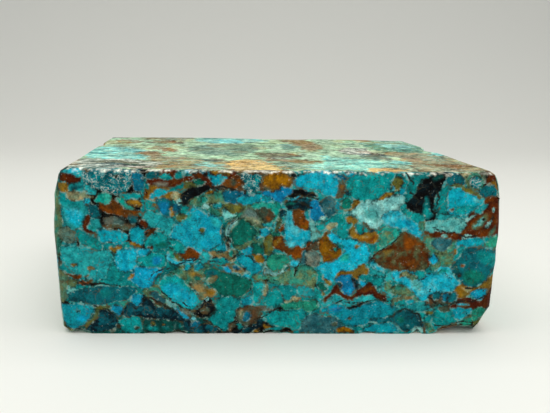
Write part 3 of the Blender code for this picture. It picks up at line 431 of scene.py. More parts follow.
    (Stone.SEA, -10.2, 47.8, -7, 48.3, -4, 48.1, -1, 48.5, -0.1, 47, -1.4, 45, -1.7, 42, -2.8, 40.8,
     -4, 41.5, -8, 44, -10, 46.4),
    (Stone.UMBER, -9.6, 45.6, -7, 46.2, -5, 46, -3, 45.6, -2.6, 43, -3, 41.9, -5, 41, -6.6, 42.4, -8, 43.8),
    (Stone.RUST, -6.4, 43, -5, 43.8, -2.9, 42.8, -3.4, 41.6, -5, 41.3),
    (Stone.CHALK, -20.2, 36.5, -19, 40, -17, 42, -15, 42.6, -15.4, 41.3, -17.8, 38.5, -18.6, 36,
     -18.9, 34.4, -19.6, 34),
    (Stone.JADE, -18.6, 36.5, -17, 38.9, -15, 41.2, -13.8, 43, -12.5, 41.6, -10.8, 40.9, -9.4, 39.5,
     -8.5, 37.5, -9.4, 35.8, -10.8, 34.5, -12.5, 33.5, -15, 33, -17, 33.3, -18.4, 34.8),
    (Stone.PINE, -18.4, 36.5, -17, 38.6, -15, 41, -13.8, 42.6, -13.2, 41, -15.5, 38.6, -16.4, 36, -15.6, 34,
     -17, 33.6, -18.2, 34.9),
    (Stone.PINE, -10.4, 40.4, -9.2, 39.3, -8.6, 37.5, -9.5, 35.9, -10.7, 34.8, -9.9, 37.2),
    (Stone.CHALK, -18.1, 34.8, -17.6, 35.5, -17.1, 35, -17.4, 33.6, -18, 33.7),
    (Stone.SKY, -7.8, 38.5, -6, 39.2, -4, 38.3, -3.8, 37.3, -5.8, 36.1, -7.5, 37.1),
    (Stone.POWDER, -8.9, 36, -7.3, 36.7, -6.8, 36, -8.6, 35.3),
    (Stone.AQUA, -6.6, 41.1, -4.5, 40.6, -2.7, 41.6, -2.9, 39.5, -5, 39.1, -6.9, 39.8),
    (Stone.AQUA, -3.4, 38.6, -2.2, 41.3, -1.1, 42.2, -1.1, 40.5, -2.2, 38.1),
    (Stone.OLIVE, -1.2, 42.4, 0.1, 42.1, -0.7, 39, -2, 37.8, -2.3, 38.6, -1.5, 40.5),
    (Stone.RUST, -0.1, 41, 1.1, 41.4, 0.8, 39, 0, 37.7, -1.1, 37.9),
    (Stone.GREEN, -4, 37.9, -2, 37.9, 0.1, 37.5, -0.4, 36.3, -2.5, 36),
    (Stone.RUST, -3.7, 34, -2.6, 36.2, 0.5, 36.4, 1, 34.5, 2.2, 32, 4, 31.4, 5.5, 33, 8, 32, 10, 34.6,
     11.2, 34.4, 10, 32.5, 8, 31, 6.9, 28.4, 5, 27.8, 3, 29.3, 1, 30.3, -1, 31.3, -3.2, 31.8),
    (Stone.OCHRE, -3.2, 33.8, -1.6, 35.9, 0.8, 35.8, 0.6, 34.6, -0.8, 33.4, -1.4, 32.2, -3, 32),
    (Stone.GOLD, 3.8, 28.6, 5.4, 29.6, 7.2, 29.6, 6.8, 28.2, 5, 27.7),
    (Stone.POWDER, 1.4, 44, 2.2, 45.6, 3.3, 45.2, 4.1, 42, 4.9, 40.5, 5.6, 39.5, 6.5, 38.7, 9.5, 38.3,
     11.7, 37, 10.2, 35, 8.2, 33.5, 7, 32.2, 5, 33.3, 3, 31.6, 1.9, 33.5, 1.1, 35.5, 0.8, 38, 1.2, 41),
    (Stone.SKY, 1.6, 43.6, 2.4, 45, 3.2, 44.6, 3.8, 42, 3.8, 40, 1.8, 39.4),
    (Stone.RUST, 3.2, 45.8, 7.6, 46, 8.1, 43, 9.6, 42, 10, 39.2, 8.5, 38.4, 6, 38.9, 4.9, 40.5, 4.1, 42),
    (Stone.GOLD, 5.4, 39.6, 7, 40.6, 9.4, 40.6, 9.8, 39.3, 8.5, 38.6, 6.2, 38.9),
    (Stone.AQUA, 7.9, 45.6, 10.1, 45.2, 10.1, 43, 8.8, 42.3, 7.9, 43.5),
    (Stone.PALE, 9.7, 41.9, 12.4, 41, 12.5, 38.4, 11, 37.4, 9.8, 39.5),
    (Stone.PALE, 10, 38, 12.6, 38.2, 13.6, 37, 13.2, 35.4, 12, 34.6, 10.6, 35.4),
    (Stone.OLIVE, -6.2, 34.5, -4.5, 37.2, -2.5, 36, -3.2, 33, -2.3, 31.8, -4.3, 28.3, -6.2, 29.8),
    (Stone.JADE, -10, 34, -7.5, 33.7, -6.2, 31.5, -6.6, 28.6, -9.5, 29.3, -10.2, 31.5),
    (Stone.UMBER, -15, 32.6, -12.5, 33.3, -11.6, 34, -12.2, 32.3, -14, 31.2, -15.2, 31.6),
    (Stone.SKY, -14.3, 31, -12.3, 32.1, -10.7, 32.9, -9.9, 31.5, -9.9, 29.4, -12, 29.1, -13.9, 29.8),
    (Stone.TAN, -18.5, 32, -15, 31, -15.8, 28, -17, 26.4, -18.5, 27),
    (Stone.SEA, -18.4, 30.3, -17.4, 31.6, -16.5, 30.4, -17, 29, -18.2, 29),
    (Stone.TAN, -20, 24.6, -15, 22.6, -11, 20.9, -12, 23.6, -16, 25.8, -19, 26.4),
    (Stone.BAY, -17.3, 25.4, -15.6, 25.6, -13.8, 24.2, -15, 23.5, -16.6, 24),
    (Stone.SKY, -13, 22.6, -12, 23, -10.8, 21.4, -11.8, 20.8, -12.8, 21.6),
    (Stone.AZURE, -20, 25.1, -18, 24.6, -16.6, 23.4, -17.8, 22.8, -20, 23.6),
    (Stone.UMBER, -13.6, 24.6, -12.6, 24.8, -11.6, 23.6, -12.6, 23),
    (Stone.OCHRE, -10, 30, -7.5, 29.5, -5.6, 27.5, -6, 26, -8.7, 27),
    (Stone.CYAN, -16, 28, -14, 29.9, -11.5, 29.2, -9, 27.5, -7.2, 26, -6.4, 24, -8, 22.4, -10.3, 21.8,
     -12, 24.2, -14.5, 26),
    (Stone.CHALK, -5.6, 27, -4.2, 27, -3.6, 24, -1, 22.6, 1.6, 24.4, 3, 26.9, 2.2, 22.6, -1, 20.6,
     -4.2, 21.4, -6.2, 24),
    (Stone.SEDGE, -10.3, 21.7, -6, 22.2, -2, 21.8, 3, 23.7, 7, 26, 11, 26, 12.8, 22, 12, 16, 9, 18, 6, 18.4,
     2, 18.9, -2, 18.4, -5, 19.4, -9, 19.6),
    (Stone.GREEN, -5, 28, -3, 29.9, 0, 30, 2.6, 28.7, 3.1, 26.5, 1.5, 24.8, 0, 23.6, -2, 22.8, -4, 23.8,
     -5, 26),
    (Stone.JADE, -3, 29.3, 0, 29.7, 1.6, 28.4, 0, 27, -3, 27.4),
    (Stone.CHALK, 1.2, 25, 2.2, 26.6, 2.8, 26.3, 2.1, 25, 1.4, 24.4),
    (Stone.INK, -6, 25.4, -5.2, 25.1, -3.6, 23.6, -2, 22.9, -1.6, 22.2, -4.5, 22.7, -6.4, 23.8),
    (Stone.PINE, 1.5, 24.8, 2.8, 26.2, 3.4, 25, 2, 23.4, 0, 22.9),
    (Stone.POWDER, 3.1, 26.5, 4.5, 28.2, 6.4, 27.6, 7, 26, 5, 25.1, 3.4, 25.4),
    (Stone.PIT_SHADE, -5.8, 20.3, -4.2, 20.3, -4.5, 19.2, -5.3, 18.9),
    (Stone.PIT_SHADE, 5.2, 24.9, 5.7, 24.8, 5.4, 23, 5.1, 23.1),
    (Stone.PIT_SHADE, -11.1, 16.3, -9.7, 17.5, -9.4, 16.6, -10.8, 15.6),
    (Stone.LAGOON, -10.1, 18.5, -8, 19.7, -6, 19.4, -5.9, 17.5, -6.5, 15.5, -6.3, 13.5, -7.5, 11,
     -9.2, 11.4, -9.4, 14),
    (Stone.SAND, -5.6, 19.1, -4.2, 18.6, -4.4, 16, -5.5, 14.2, -6.3, 15, -5.6, 17),
    (Stone.LAGOON, -6.1, 13.5, -4, 16.1, -2, 17.9, 0, 16.6, 0.4, 14.5, 1.1, 13, 0, 11.2, -2, 9.8, -4, 9.8,
     -5.7, 11.2),
    (Stone.TEAL, -1, 18.1, 2, 18.8, 5, 18.3, 6.6, 16.5, 5.6, 14, 4, 12.6, 1.5, 13.1, 0.5, 15, -0.5, 17),
    (Stone.CHALK, 3.3, 16.3, 4.2, 16.4, 4.3, 15.4, 3.4, 15.3),
    (Stone.AQUA, 5.6, 18.6, 8, 18.2, 10, 17.7, 12.2, 16, 12.2, 14.2, 9, 14.2, 6.5, 14.7),
    (Stone.SAND, 0.9, 13.1, 3, 12.6, 5.5, 14.2, 7.7, 13.6, 6, 12, 4, 11.6, 2, 11.6),
    (Stone.UMBER, 5.2, 13.2, 6.6, 13.8, 7.2, 13.2, 6.2, 12.6),
    (Stone.GREEN, 0.4, 11.6, 4, 12, 8, 12.6, 13, 13, 13.8, 10, 12.4, 8.6, 10, 8, 8, 9.4, 5, 8.8, 3, 8.7,
     0.4, 9.8),
    (Stone.GREY, -7, 10.8, -3, 9.2, 0, 9.4, -2, 8.4, -6, 8.6, -8.6, 10.6),
    (Stone.PIT_SHADE, -1.4, 9.3, 0, 10.4, 1.6, 9.4, 0, 9.1),
    (Stone.TEAL, -6.8, 7, -4.5, 8.1, -2, 8.7, 0, 9.3, 3, 8.6, 6, 9.7, 8, 9.7, 9.1, 8, 9.6, 6, 8.2, 4,
     7.1, 1.6, 4, 1.4, 1.5, 1.9, 0, 2.8, -2, 2.9, -4, 3.7, -5.5, 5.5),
    (Stone.STEEL, 9, 6.5, 12, 8, 16, 6.6, 19, 6.6, 21, 5, 23, 3.2, 22, 2, 20, 1, 20, 0.1, 7, 0.1, 7.6, 3),
    (Stone.LAGOON, 12.8, 3.6, 14, 4.6, 15.2, 3.8, 14.6, 2.7, 13.2, 2.6),
    (Stone.UMBER, 18.4, 3.6, 19.6, 4.6, 20.8, 3.6, 19.8, 2.5),
    (Stone.OCHRE, -6, 4, -4, 3.1, -2.9, 2.3, -4.5, 1.6, -6.1, 2.2),
    (Stone.LAGOON, -5.6, 1.8, -3, 2.1, 0, 2.9, 1, 2, 0, 1, -3, 1),
    (Stone.PIT_SHADE, -6.2, 1.2, -3, 1, -1.8, 0.6, -5.6, 0.2),
    (Stone.PIT_SHADE, 0.4, 1, 2, 2.3, 4.6, 1.6, 5.2, 0.4, 1, 0.1),
    (Stone.UMBER, -16, 10, -9, 10.8, -6.3, 8.6, -6.8, 6.5, -8.3, 5.3, -9.3, 3.3, -12, 2.8, -14, 3.5,
     -15.4, 5),
    (Stone.SAND, -15.5, 8, -14.5, 10, -13.3, 9.6, -13.2, 7.5, -12.9, 4.8, -14.3, 5.6),
    (Stone.BAY, -13.4, 6.5, -12.5, 8.7, -10.9, 8.6, -10.5, 6, -11.5, 4.8, -13.1, 5),
    (Stone.CYAN, -14, 12.5, -12.5, 14.2, -10.3, 14.7, -9.3, 12.5, -9.6, 11, -12, 10.2, -13.6, 11),
    (Stone.INK, -12.6, 2.4, -9, 3.2, -8.2, 5.6, -6.5, 6, -5.4, 4, -6.4, 2.4, -9, 0.8, -12, 0.2, -17, 0.2,
     -16.5, 1.2),
    (Stone.OCHRE, -10, 0.8, -8, 1.9, -7.2, 0.9, -8.5, 0.2),
    (Stone.UMBER, -18.2, 4.1, -16, 4.2, -15.7, 2.5, -17, 2.1, -17.5, 0.7, -19.1, 0.4, -19, 2),
    (Stone.TEAL, -15.7, 3.6, -14, 4.3, -13.2, 2.4, -15, 1.4),
    (Stone.UMBER, 8, 31, 9.5, 32.8, 11, 33.9, 13.6, 35, 14, 32, 12.5, 30.6, 10, 30),
    (Stone.STEEL, 7, 29.6, 8, 31.2, 9.6, 30.6, 9, 28, 8.3, 25.8, 6.9, 27),
    (Stone.GREY, 8.4, 29, 10, 31.2, 12, 31.7, 13.7, 30, 14.2, 28, 13.2, 25.3, 11, 25.3, 9, 26.3),
    (Stone.GOLD, 13, 34.5, 14, 36, 15.5, 38.2, 16.3, 38.2, 16, 36.5, 17.5, 34.7, 19, 33.6, 20.2, 32.2,
     21.8, 31, 21.4, 29.3, 19, 27.9, 17.5, 27.1, 15, 26.7, 14.3, 28.5, 13.8, 31, 13.2, 33),
    (Stone.RUST, 13.2, 35, 14.2, 36.4, 15.4, 36, 14.8, 33.6, 15, 31.4, 14, 31, 13.4, 33),
    (Stone.RUST, 14.6, 29.6, 16.6, 30.4, 18.6, 29.8, 18.4, 28.4, 16.6, 27.6, 14.8, 27.6),
    (Stone.SEA, 18, 31.6, 19, 32.4, 19.8, 31, 19.2, 30.2),
    (Stone.SKY, 12.9, 25, 14.5, 26.5, 17.5, 27.1, 20.5, 28.7, 22.3, 30.7, 23, 31.5, 20.5, 33.8, 19, 34,
     17.5, 34.9, 16, 35.8, 17, 38.2, 19.5, 36.6, 23, 35.6, 25.5, 34.8, 27, 34.4, 30, 33.5, 31.2, 31,
     31.6, 28, 30.8, 27, 29, 26.7, 27.5, 25.2, 25.5, 24.2, 23, 24, 21, 23.7, 19.5, 22.2, 18.9, 20,
     18.1, 19.3, 16, 20.4, 14.5, 22.2, 13.2, 24),
    (Stone.SEA, 20.4, 29, 22.4, 30.8, 24.6, 30, 24.6, 27.4, 22.4, 26.2, 20.6, 27),
    (Stone.POWDER, 13.6, 24.8, 15, 26.1, 17, 25.6, 17, 23.6, 15.4, 22.6, 14, 23.4),
    (Stone.OCHRE, 26.2, 33.4, 27, 34, 27.8, 33.2, 27.2, 32.2, 26.4, 32.4),
    (Stone.OCHRE, 19.1, 21.4, 20.5, 23.4, 23, 23.9, 25.5, 24, 27, 25, 28.3, 26.4, 29.3, 26.9, 30.2, 25,
     31.7, 24.4, 31.4, 22.4, 29, 22.2, 28, 20.9, 27, 20.4, 26, 21.7, 24.5, 22.6, 22, 22.2, 20.5, 21.5),
    (Stone.BLUE, 19.5, 20.5, 21, 22.1, 23, 22.6, 25, 22.4, 26.1, 21, 26.6, 19, 26.6, 16.5, 25.5, 14.7,
     24.3, 14.5, 22.5, 15.4, 21.4, 17.3, 19.4, 19.5),
    (Stone.BLUE, 23, 17.6, 24.4, 18.6, 26, 17.6, 25.9, 15.9, 24.8, 14.8, 23.4, 15.6),
    (Stone.INK, 25.2, 21.7, 26.5, 20.7, 28, 20.5, 28.3, 18.8, 27.8, 17.8, 29.7, 17.3, 27, 16, 26.3, 18,
     25.4, 20.3),
    (Stone.INK, 19.6, 19.5, 21.5, 19.8, 22, 18.3, 21, 17.2, 19.8, 18.2),
    (Stone.BAY, 20.4, 18.9, 21.2, 18.9, 21.3, 18, 20.6, 17.9),
    (Stone.AZURE, 27.9, 20, 29, 20.5, 31, 18.7, 30, 17.7, 28, 18.5),
    (Stone.AQUA, 12, 14.2, 14, 13.2, 15.8, 12, 17, 13.4, 18.8, 15.2, 20, 15.5, 21.5, 14.5, 24, 13.2, 26, 13,
     27.5, 14.2, 29, 15.2, 31, 15.2, 33, 15.4, 34.7, 13.8, 34.1, 12.7, 32, 11.9, 29, 11.5, 27, 10.9, 25, 10,
     23.5, 10.3, 22, 11.2, 20.5, 12.1, 18.5, 11.4, 16.5, 10, 14.3, 11.4),
    (Stone.MAROON, 15.3, 13, 17, 15.2, 18.5, 16.7, 19.2, 18.3, 20.1, 18.4, 20.9, 17.2, 21.9, 16, 23.5, 14.7,
     25.5, 14.4, 26.5, 15, 27.2, 16.5, 29, 17.5, 31, 19.2, 31.9, 19.8, 33.5, 18.4, 34.5, 16.6, 35.4, 15.4,
     37.2, 15.1, 38.6, 13.7, 37.3, 12.3, 35.8, 12.9, 34.3, 13.8, 33, 15.1, 31, 14.8, 29, 14.8, 27.5, 13.8,
     26, 12.6, 24, 12.8, 22, 13.8, 20.2, 15, 18.8, 15, 17.1, 13.1, 16, 11.8),
    (Stone.RUST, 28, 16.5, 30, 17.6, 32, 19, 33.2, 18, 33.8, 16.6, 31.6, 15.9, 29.4, 15.7),
    (Stone.OCHRE, 14.3, 21.7, 16.5, 20.5, 18.2, 19.4, 17, 18.2, 15.8, 19.3),
    (Stone.OCHRE, 14.8, 15.4, 15.8, 15.5, 15.9, 14.4, 15, 14.4),
    (Stone.OCHRE, 8.2, 21.8, 9.4, 20.8, 10.6, 18.4, 9.4, 18.6, 8.4, 20.2),
    (Stone.PIT_SHADE, 12.1, 18.6, 12.8, 18.8, 12.9, 17.5, 12.2, 17.3),
    (Stone.JADE, 13.4, 19.4, 15.6, 19, 17, 16.6, 15, 15.8, 13.2, 17),
    (Stone.CYAN, 14.2, 9.5, 17, 10.5, 19, 11.6, 21, 11.7, 22.5, 10.6, 25, 9.5, 27, 10.3, 29, 11.2, 31, 11.9,
     33.5, 12.2, 36, 13, 38, 11.7, 41, 10.9, 42.3, 9, 40, 6.8, 36, 5.8, 33, 4.8, 31.5, 3.6, 29, 3.1,
     26, 2.6, 24, 3.3, 22, 4.6, 20.8, 5.8, 19.5, 6.8, 17, 7.8, 15, 7.8),
    (Stone.BLUE, 16.4, 9, 19, 11, 21, 11.2, 22.6, 9.8, 22.4, 8.2, 19, 7.8, 17, 8),
    (Stone.SOOT, 23.4, 10, 25, 10.3, 27, 11.1, 29, 12.1, 30.2, 11.6, 28, 10.3, 26.5, 9.7, 24.5, 9.2),
    (Stone.SOOT, 30.3, 11.8, 32, 12, 34.2, 13, 32.5, 11, 31, 10.4),
    (Stone.PIT_SHADE, 24.5, 6.6, 25.3, 6.6, 25.2, 5.8, 24.6, 5.8),
    (Stone.DEEP, 32.6, 6, 36, 6.4, 40.4, 6.4, 40.2, 4.6, 36, 4, 33.4, 4.6),
    (Stone.CYAN, 29.8, 2, 33, 3.2, 36, 3.8, 40, 4.3, 42, 3.7, 43.4, 1.6, 43, 0.2, 28, 0.2, 28.9, 1.2),
    (Stone.TEAL, 25.8, 2.8, 29, 3.3, 30.7, 2, 28, 0.2, 26, 0.5),
    (Stone.CHALK, 32, 4.3, 34.5, 3.8, 35.1, 4.4, 33, 4.7),
    (Stone.PIT_SHADE, 29.8, 0.3, 31.5, 1, 33.5, 0.8, 35.2, 0.2),
    (Stone.GOLD, 20.3, 1.5, 22, 2.6, 24.5, 2.4, 26.6, 1.6, 27.4, 0.2, 24, 0.2, 21, 0.7),
    (Stone.SEA, 31.6, 28, 32.5, 30, 33.5, 33, 34.2, 36, 33.4, 38.6, 36, 39.8, 38.5, 40.3, 41, 39, 42.1, 37,
     40, 34, 37, 32, 34, 30.1),
    (Stone.SEDGE, 33.6, 36, 35.6, 38.8, 38, 38, 39.6, 36, 37.6, 33.8, 35, 32),
    (Stone.MOTTLE, 31.5, 28.5, 34, 31.1, 37, 32.6, 39.5, 34.1, 41.5, 37.2, 42.5, 38.6, 44, 38.1, 48, 36.2,
     50.8, 34.2, 52.2, 31, 53.2, 28, 52.6, 25.4, 50.5, 23.8, 47, 23.4, 42, 24, 38, 24.1, 36.5, 25,
     34, 26.3),
    (Stone.RUST, 41.8, 37.8, 43.6, 37.9, 46.4, 36.2, 50, 34, 49.4, 32.4, 46.6, 32.8, 44.8, 30, 43.4, 31.6,
     42.2, 34.4),
    (Stone.RUST, 35, 25.6, 38, 26.2, 42, 25.6, 44.4, 24.6, 42, 24.1, 38, 24.3),
    (Stone.RUST, 44, 26.4, 45, 28, 47.6, 28.6, 49.6, 27.8, 49.8, 25.6, 47.6, 24.2, 45, 24.6),
    (Stone.RUST, 47.8, 29, 49, 30, 50.6, 29.4, 50, 28.2, 48.6, 27.9),
    (Stone.OCHRE, 35, 31, 38.5, 32.5, 40, 32, 38, 29.5, 36.5, 28, 34.8, 27.2, 36.2, 29.6),
    (Stone.SEDGE, 32.4, 28.6, 34.2, 30.2, 35.6, 29.4, 34, 27.4),
    (Stone.AQUA, 30.8, 26, 32.5, 24.7, 35.5, 23.7, 37.1, 23.1, 38.2, 22, 37.5, 20.2, 35.5, 21, 33, 21.8,
     31, 22.2, 31.4, 24),
    (Stone.POWDER, 30.9, 27.4, 32, 27.6, 34, 26, 36.6, 24.9, 37, 23.6, 34.4, 23.8, 32, 25),
    (Stone.TEAL, 27.9, 22.6, 31, 22.4, 34.5, 22.2, 37.1, 21.4, 36.9, 20, 35.1, 17.5, 36.1, 15.4, 33.6, 18.5,
     31.7, 19.9, 30.1, 20, 28.4, 20.6),
    (Stone.AQUA, 37.3, 22.6, 40, 24, 45, 24, 47, 22, 45, 20, 42.5, 17, 42, 13.2, 40, 13.8, 37.5, 15.8,
     35.4, 16.4, 36.4, 19.5),
    (Stone.SEDGE, 37, 19.6, 39, 20.4, 40.4, 19, 40.2, 16.4, 38.4, 16, 37, 17.6),
    (Stone.LAGOON, 39.4, 19.6, 42, 20.2, 44.6, 19.6, 44, 18.2, 41, 17.8, 39.4, 18.4),
    (Stone.PIT_SHADE, 36.5, 20.6, 37.1, 20.6, 37.1, 19.8, 36.5, 19.8),
    (Stone.UMBER, 19.2, 55.4, 22, 55.7, 22.3, 53.8, 21.1, 52, 20.7, 50, 18.3, 49.6, 19.2, 52),
    (Stone.GOLD, 19.8, 54.8, 21.6, 54.9, 21.8, 53.8, 20.8, 52.8, 20, 53.2),
    (Stone.BAY, 17.3, 57.5, 20, 56.2, 22, 55.9, 22.7, 57.5, 20, 58.4),
    (Stone.TEAL, 22.2, 57.5, 23.5, 59.2, 26, 58.2, 29, 58.4, 33, 58.7, 36, 59.5, 39.2, 58.7, 38.6, 56.5,
     37.9, 54, 36.9, 52, 34.6, 50.2, 31, 49.2, 27.5, 48.9, 25, 49.9, 23.5, 51.3, 21.3, 51.7, 22.3, 53.5,
     22.3, 55.5),
    (Stone.LAGOON, 25.6, 56.4, 29, 57.6, 33, 56.4, 35, 53.6, 33, 51, 28, 50.4, 25.4, 52.8),
    (Stone.LAGOON, 33, 58.4, 36, 59.3, 38.8, 58.5, 37.8, 57.4, 34.4, 57.2),
    (Stone.CYAN, 20.8, 58.6, 24, 59.2, 25.2, 58.2, 24, 57.2, 22.3, 57.3),
    (Stone.INK, 21.2, 52, 22.6, 53, 24, 51.9, 23.4, 50.8, 21.8, 51),
    (Stone.OCHRE, 32.8, 50, 35, 51, 36.5, 52.2, 38.1, 52.2, 38.7, 51, 36.5, 50, 34.4, 48.6),
    (Stone.OLIVE, 38, 57.1, 40.5, 57.7, 41.7, 55.5, 40.1, 53, 38.5, 52.3, 37.4, 54.5),
    (Stone.SKY, 37.8, 53.6, 38.6, 53.9, 38.9, 52.9, 38.1, 52.5),
    (Stone.CYAN, 39.9, 52.2, 41.5, 54, 43.2, 52.8, 42.1, 51.1, 40.4, 51.1),
    (Stone.STEEL, 12.8, 47.5, 14.5, 49.8, 17, 51, 18.7, 49.6, 18.5, 46, 18.7, 44.3, 17, 42.8, 15, 44.3,
     14, 46),
    (Stone.BAY, 15.6, 49.2, 17, 50, 18.1, 49.2, 17.4, 48.1, 16, 48.2),
    (Stone.JADE, 20.2, 47.3, 20.8, 49.7, 23, 50.2, 24.5, 48.5, 24.5, 46.6, 22, 45.8, 20.6, 45.8),
    (Stone.CYAN, 18.5, 47.5, 19.3, 48.9, 20.4, 48.1, 20.6, 46, 19, 45.6),
    (Stone.OCHRE, 24.3, 49.2, 25.3, 49.6, 27.6, 48.6, 27, 47.2, 25.2, 46.8, 24.2, 45.6, 22.2, 45,
     21.4, 45.4, 23.5, 46.4, 24.6, 47.5),
    (Stone.BLUE, 9.3, 48, 11, 49.7, 12.6, 49.2, 13.1, 47, 14.7, 45, 15.7, 43.5, 13.5, 42.6, 12, 41.3,
     10.1, 42.4, 9.6, 44.5),
    (Stone.CHALK, 13, 43.1, 15.6, 43.4, 14.6, 42, 13.2, 42),
    (Stone.PIT_SHADE, 13.8, 43.2, 15, 43.3, 14.6, 42.5, 14, 42.5),
    (Stone.LAGOON, 11.8, 40.4, 14, 41.4, 16.5, 42.2, 18, 44, 19.5, 45, 22, 44.7, 22.7, 42, 24.2, 40.5,
     24.2, 38, 23.6, 35.8, 21, 35.6, 19.4, 36.8, 19.4, 38.8, 17.5, 38, 15.5, 38.1, 13.5, 38.1, 11.9, 38.9),
    (Stone.SAND, 15.2, 39.5, 17, 40.9, 19.6, 41.2, 18.8, 39.5, 17.3, 38.1, 15.7, 38.4),
    (Stone.SEA, 20.2, 42.6, 21.2, 44.4, 22.4, 43.4, 22.2, 41, 20.6, 40.6),
    (Stone.OCHRE, 22.4, 43.1, 24, 44, 25.6, 43.1, 26.7, 41.5, 26.2, 40.9, 25.4, 40.7, 25.7, 39, 26.7, 37.6,
     28, 37.3, 30, 38.2, 33.2, 38.5, 34.4, 36.8, 33.6, 34.4, 32, 33, 30, 34.3, 27, 34.8, 25, 35.6, 23.6, 37,
     23.4, 38.5, 24.4, 39.5, 24.5, 41, 22.9, 41.2),
    (Stone.SAND, 23.2, 42.9, 24.2, 42.7, 24.2, 40.8, 23.2, 41.4),
    (Stone.GOLD, 24.4, 43.4, 25.4, 42.8, 25.8, 41.8, 25, 41, 24.6, 42),
    (Stone.SAND, 27.8, 36.2, 30, 37.4, 31.4, 36.6, 30.6, 35.9, 28.4, 35.6),
    (Stone.RUST, 25.2, 35.6, 27, 35.6, 29, 35.8, 31.6, 36.6, 32.8, 38, 34, 37, 33.6, 35, 32, 33.2, 30, 34.4,
     27, 34.9),
    (Stone.LAGOON, 25.9, 40.5, 27.5, 41.2, 28.9, 39.8, 28.8, 37.6, 27.3, 37.1, 26.3, 38.5),
    (Stone.CHALK, 23.8, 45, 26, 47.2, 28, 48.6, 31, 49.2, 34, 49.4, 35.5, 50, 38, 51, 41, 51.2, 42.5, 50.2,
     42.2, 48.8, 40.7, 46.8, 41, 45.3, 38, 45, 35.5, 44.6, 35.2, 42.5, 35, 40, 33, 38.8, 31.5, 38.8,
     29.5, 40.8, 27.5, 41.8, 25.5, 44.1, 21.8, 44.7),
    (Stone.PALE, 28, 46.4, 31, 47, 34.4, 46, 34.6, 42, 32.6, 40.2, 29.6, 42.4, 28, 44),
    (Stone.POWDER, 34.8, 43, 35.5, 45, 38, 46, 41, 45.8, 43, 44, 45, 43, 47.2, 40.6, 49.8, 37.6, 49, 35.8,
     46, 37.2, 43.5, 39.1, 41, 39.2, 38, 39.9, 35.3, 40.8),
    (Stone.AZURE, 41.6, 43.6, 43.6, 43.2, 46, 41, 48.6, 38, 48.2, 36.9, 45.8, 38.2, 43.4, 39.9, 42, 41.4),
    (Stone.CYAN, 36, 45, 38, 45.8, 41, 45.2, 40, 43.8, 37, 43.6),
    (Stone.INK, 30.8, 38.4, 32, 39, 33, 38.5, 32.2, 37.7, 31, 37.8),
    (Stone.UMBER, 28, 42, 30, 40.8, 31.7, 39.4, 31, 38.5, 29.3, 39.8),
    (Stone.LAGOON, 42.8, 55, 44.5, 57.2, 47, 58.8, 50, 59.6, 52.2, 59.2, 51.5, 57.5, 49, 57, 47, 55.4,
     46.5, 53, 45, 50.4, 44, 49.3, 42.6, 50.4, 43.2, 52.5),
    (Stone.PALE, 41, 59.8, 42, 60.3, 44, 59.5, 47, 60.3, 45, 58, 43, 56.6, 41.6, 57.4),
    (Stone.SOOT, 46.5, 54.6, 48, 56, 50.8, 57.6, 52, 59.8, 58.8, 59.6, 57, 57, 56, 55.6, 55.5, 53.5,
     54.8, 51.2, 53.4, 51.2, 53, 48, 52.6, 46.4, 54.4, 45.4, 53.6, 43.4, 53.6, 41.9, 49.8, 41.3, 50.3, 43.6,
     49, 45, 46, 44.8, 43.4, 46.8, 42, 48.8, 44.2, 49.2, 46, 52),
    (Stone.SOOT, 45.4, 51, 47, 53, 48.6, 50, 49, 46.4, 47, 45.6, 45, 47.4),
    (Stone.SOOT, 46.8, 54, 49, 55.4, 52, 55, 55.2, 54.6, 54.4, 51.8, 52.6, 51.4, 50.6, 51.6, 47.4, 51.8),
    (Stone.TEAL, 49.1, 51.2, 50.6, 51.3, 51, 48.5, 51.7, 46.5, 53, 44.8, 52.6, 43, 51, 42.1, 49.3, 42.8,
     48.8, 45, 49.4, 48),
    (Stone.PINE, 51, 57.5, 52.5, 59.2, 55.5, 59, 56.4, 57.6, 54, 55.8, 51.5, 56),
    (Stone.DEEP, 56.3, 57.5, 58, 58.7, 61, 58.7, 65, 57.7, 65.2, 55.4, 62, 54.8, 59, 54.6, 56.8, 55.3),
    (Stone.LAGOON, 54.3, 52.5, 57.5, 55.7, 58, 52.5, 57.5, 49, 58.2, 46, 57.2, 43.8, 54.2, 42.8, 53.4, 44.4,
     55, 46.6, 54, 45.9, 52.4, 46.3, 53.1, 49, 53.4, 51.4),
    (Stone.CYAN, 57.4, 52.5, 59.5, 54.2, 62, 53.7, 65, 52.7, 68, 51.1, 70.2, 50.4, 70.2, 48.7, 69.2, 47.3,
     67, 46.2, 65.5, 44.8, 62, 43.8, 59, 43.8, 57.9, 46, 57.4, 49),
    (Stone.TEAL, 60.5, 48, 65, 49, 69.4, 48.4, 68.6, 47, 66.6, 46, 65, 44.9, 62, 44, 59.4, 44.4, 60, 46.6),
    # The two sky stones that follow are a painted highlight: the shine on the cyan stone, painted as lighter
    # blue.
    (Stone.SKY, 60, 51, 62.4, 52.4, 66, 51.6, 69.4, 50, 67, 49, 63, 49.4),
    (Stone.SKY, 59.6, 52.4, 61.6, 53.4, 64.4, 52.4, 64.4, 51.2, 61.6, 50.8, 60, 51.2),
    (Stone.PALE, 65.6, 50.4, 68, 50.6, 69.9, 49.9, 69.6, 48.8, 67.4, 48.6, 65.8, 49.6),
    (Stone.OLIVE, 57.8, 54.4, 60, 55.5, 62, 55.2, 65, 53.7, 68, 52.2, 70.9, 50.9, 69.6, 50.2, 66, 51.6,
     63, 53.1, 60, 54.1),
    (Stone.MAROON, 58.6, 46.6, 60.2, 46.7, 60.2, 45.9, 58.8, 45.8),
    (Stone.SAND, 58, 60.3, 66, 60.6, 66.2, 58.4, 63, 57.1, 61, 58.7),
    (Stone.SEDGE, 62.8, 57, 66, 59.8, 68.7, 58.7, 70.2, 56, 69.7, 54, 67, 52.6, 64.3, 54.1),
    (Stone.CRACKLE, 64.4, 56.6, 66.4, 58.4, 68.6, 57.4, 69.4, 55.4, 68, 53.6, 65.6, 53.8),
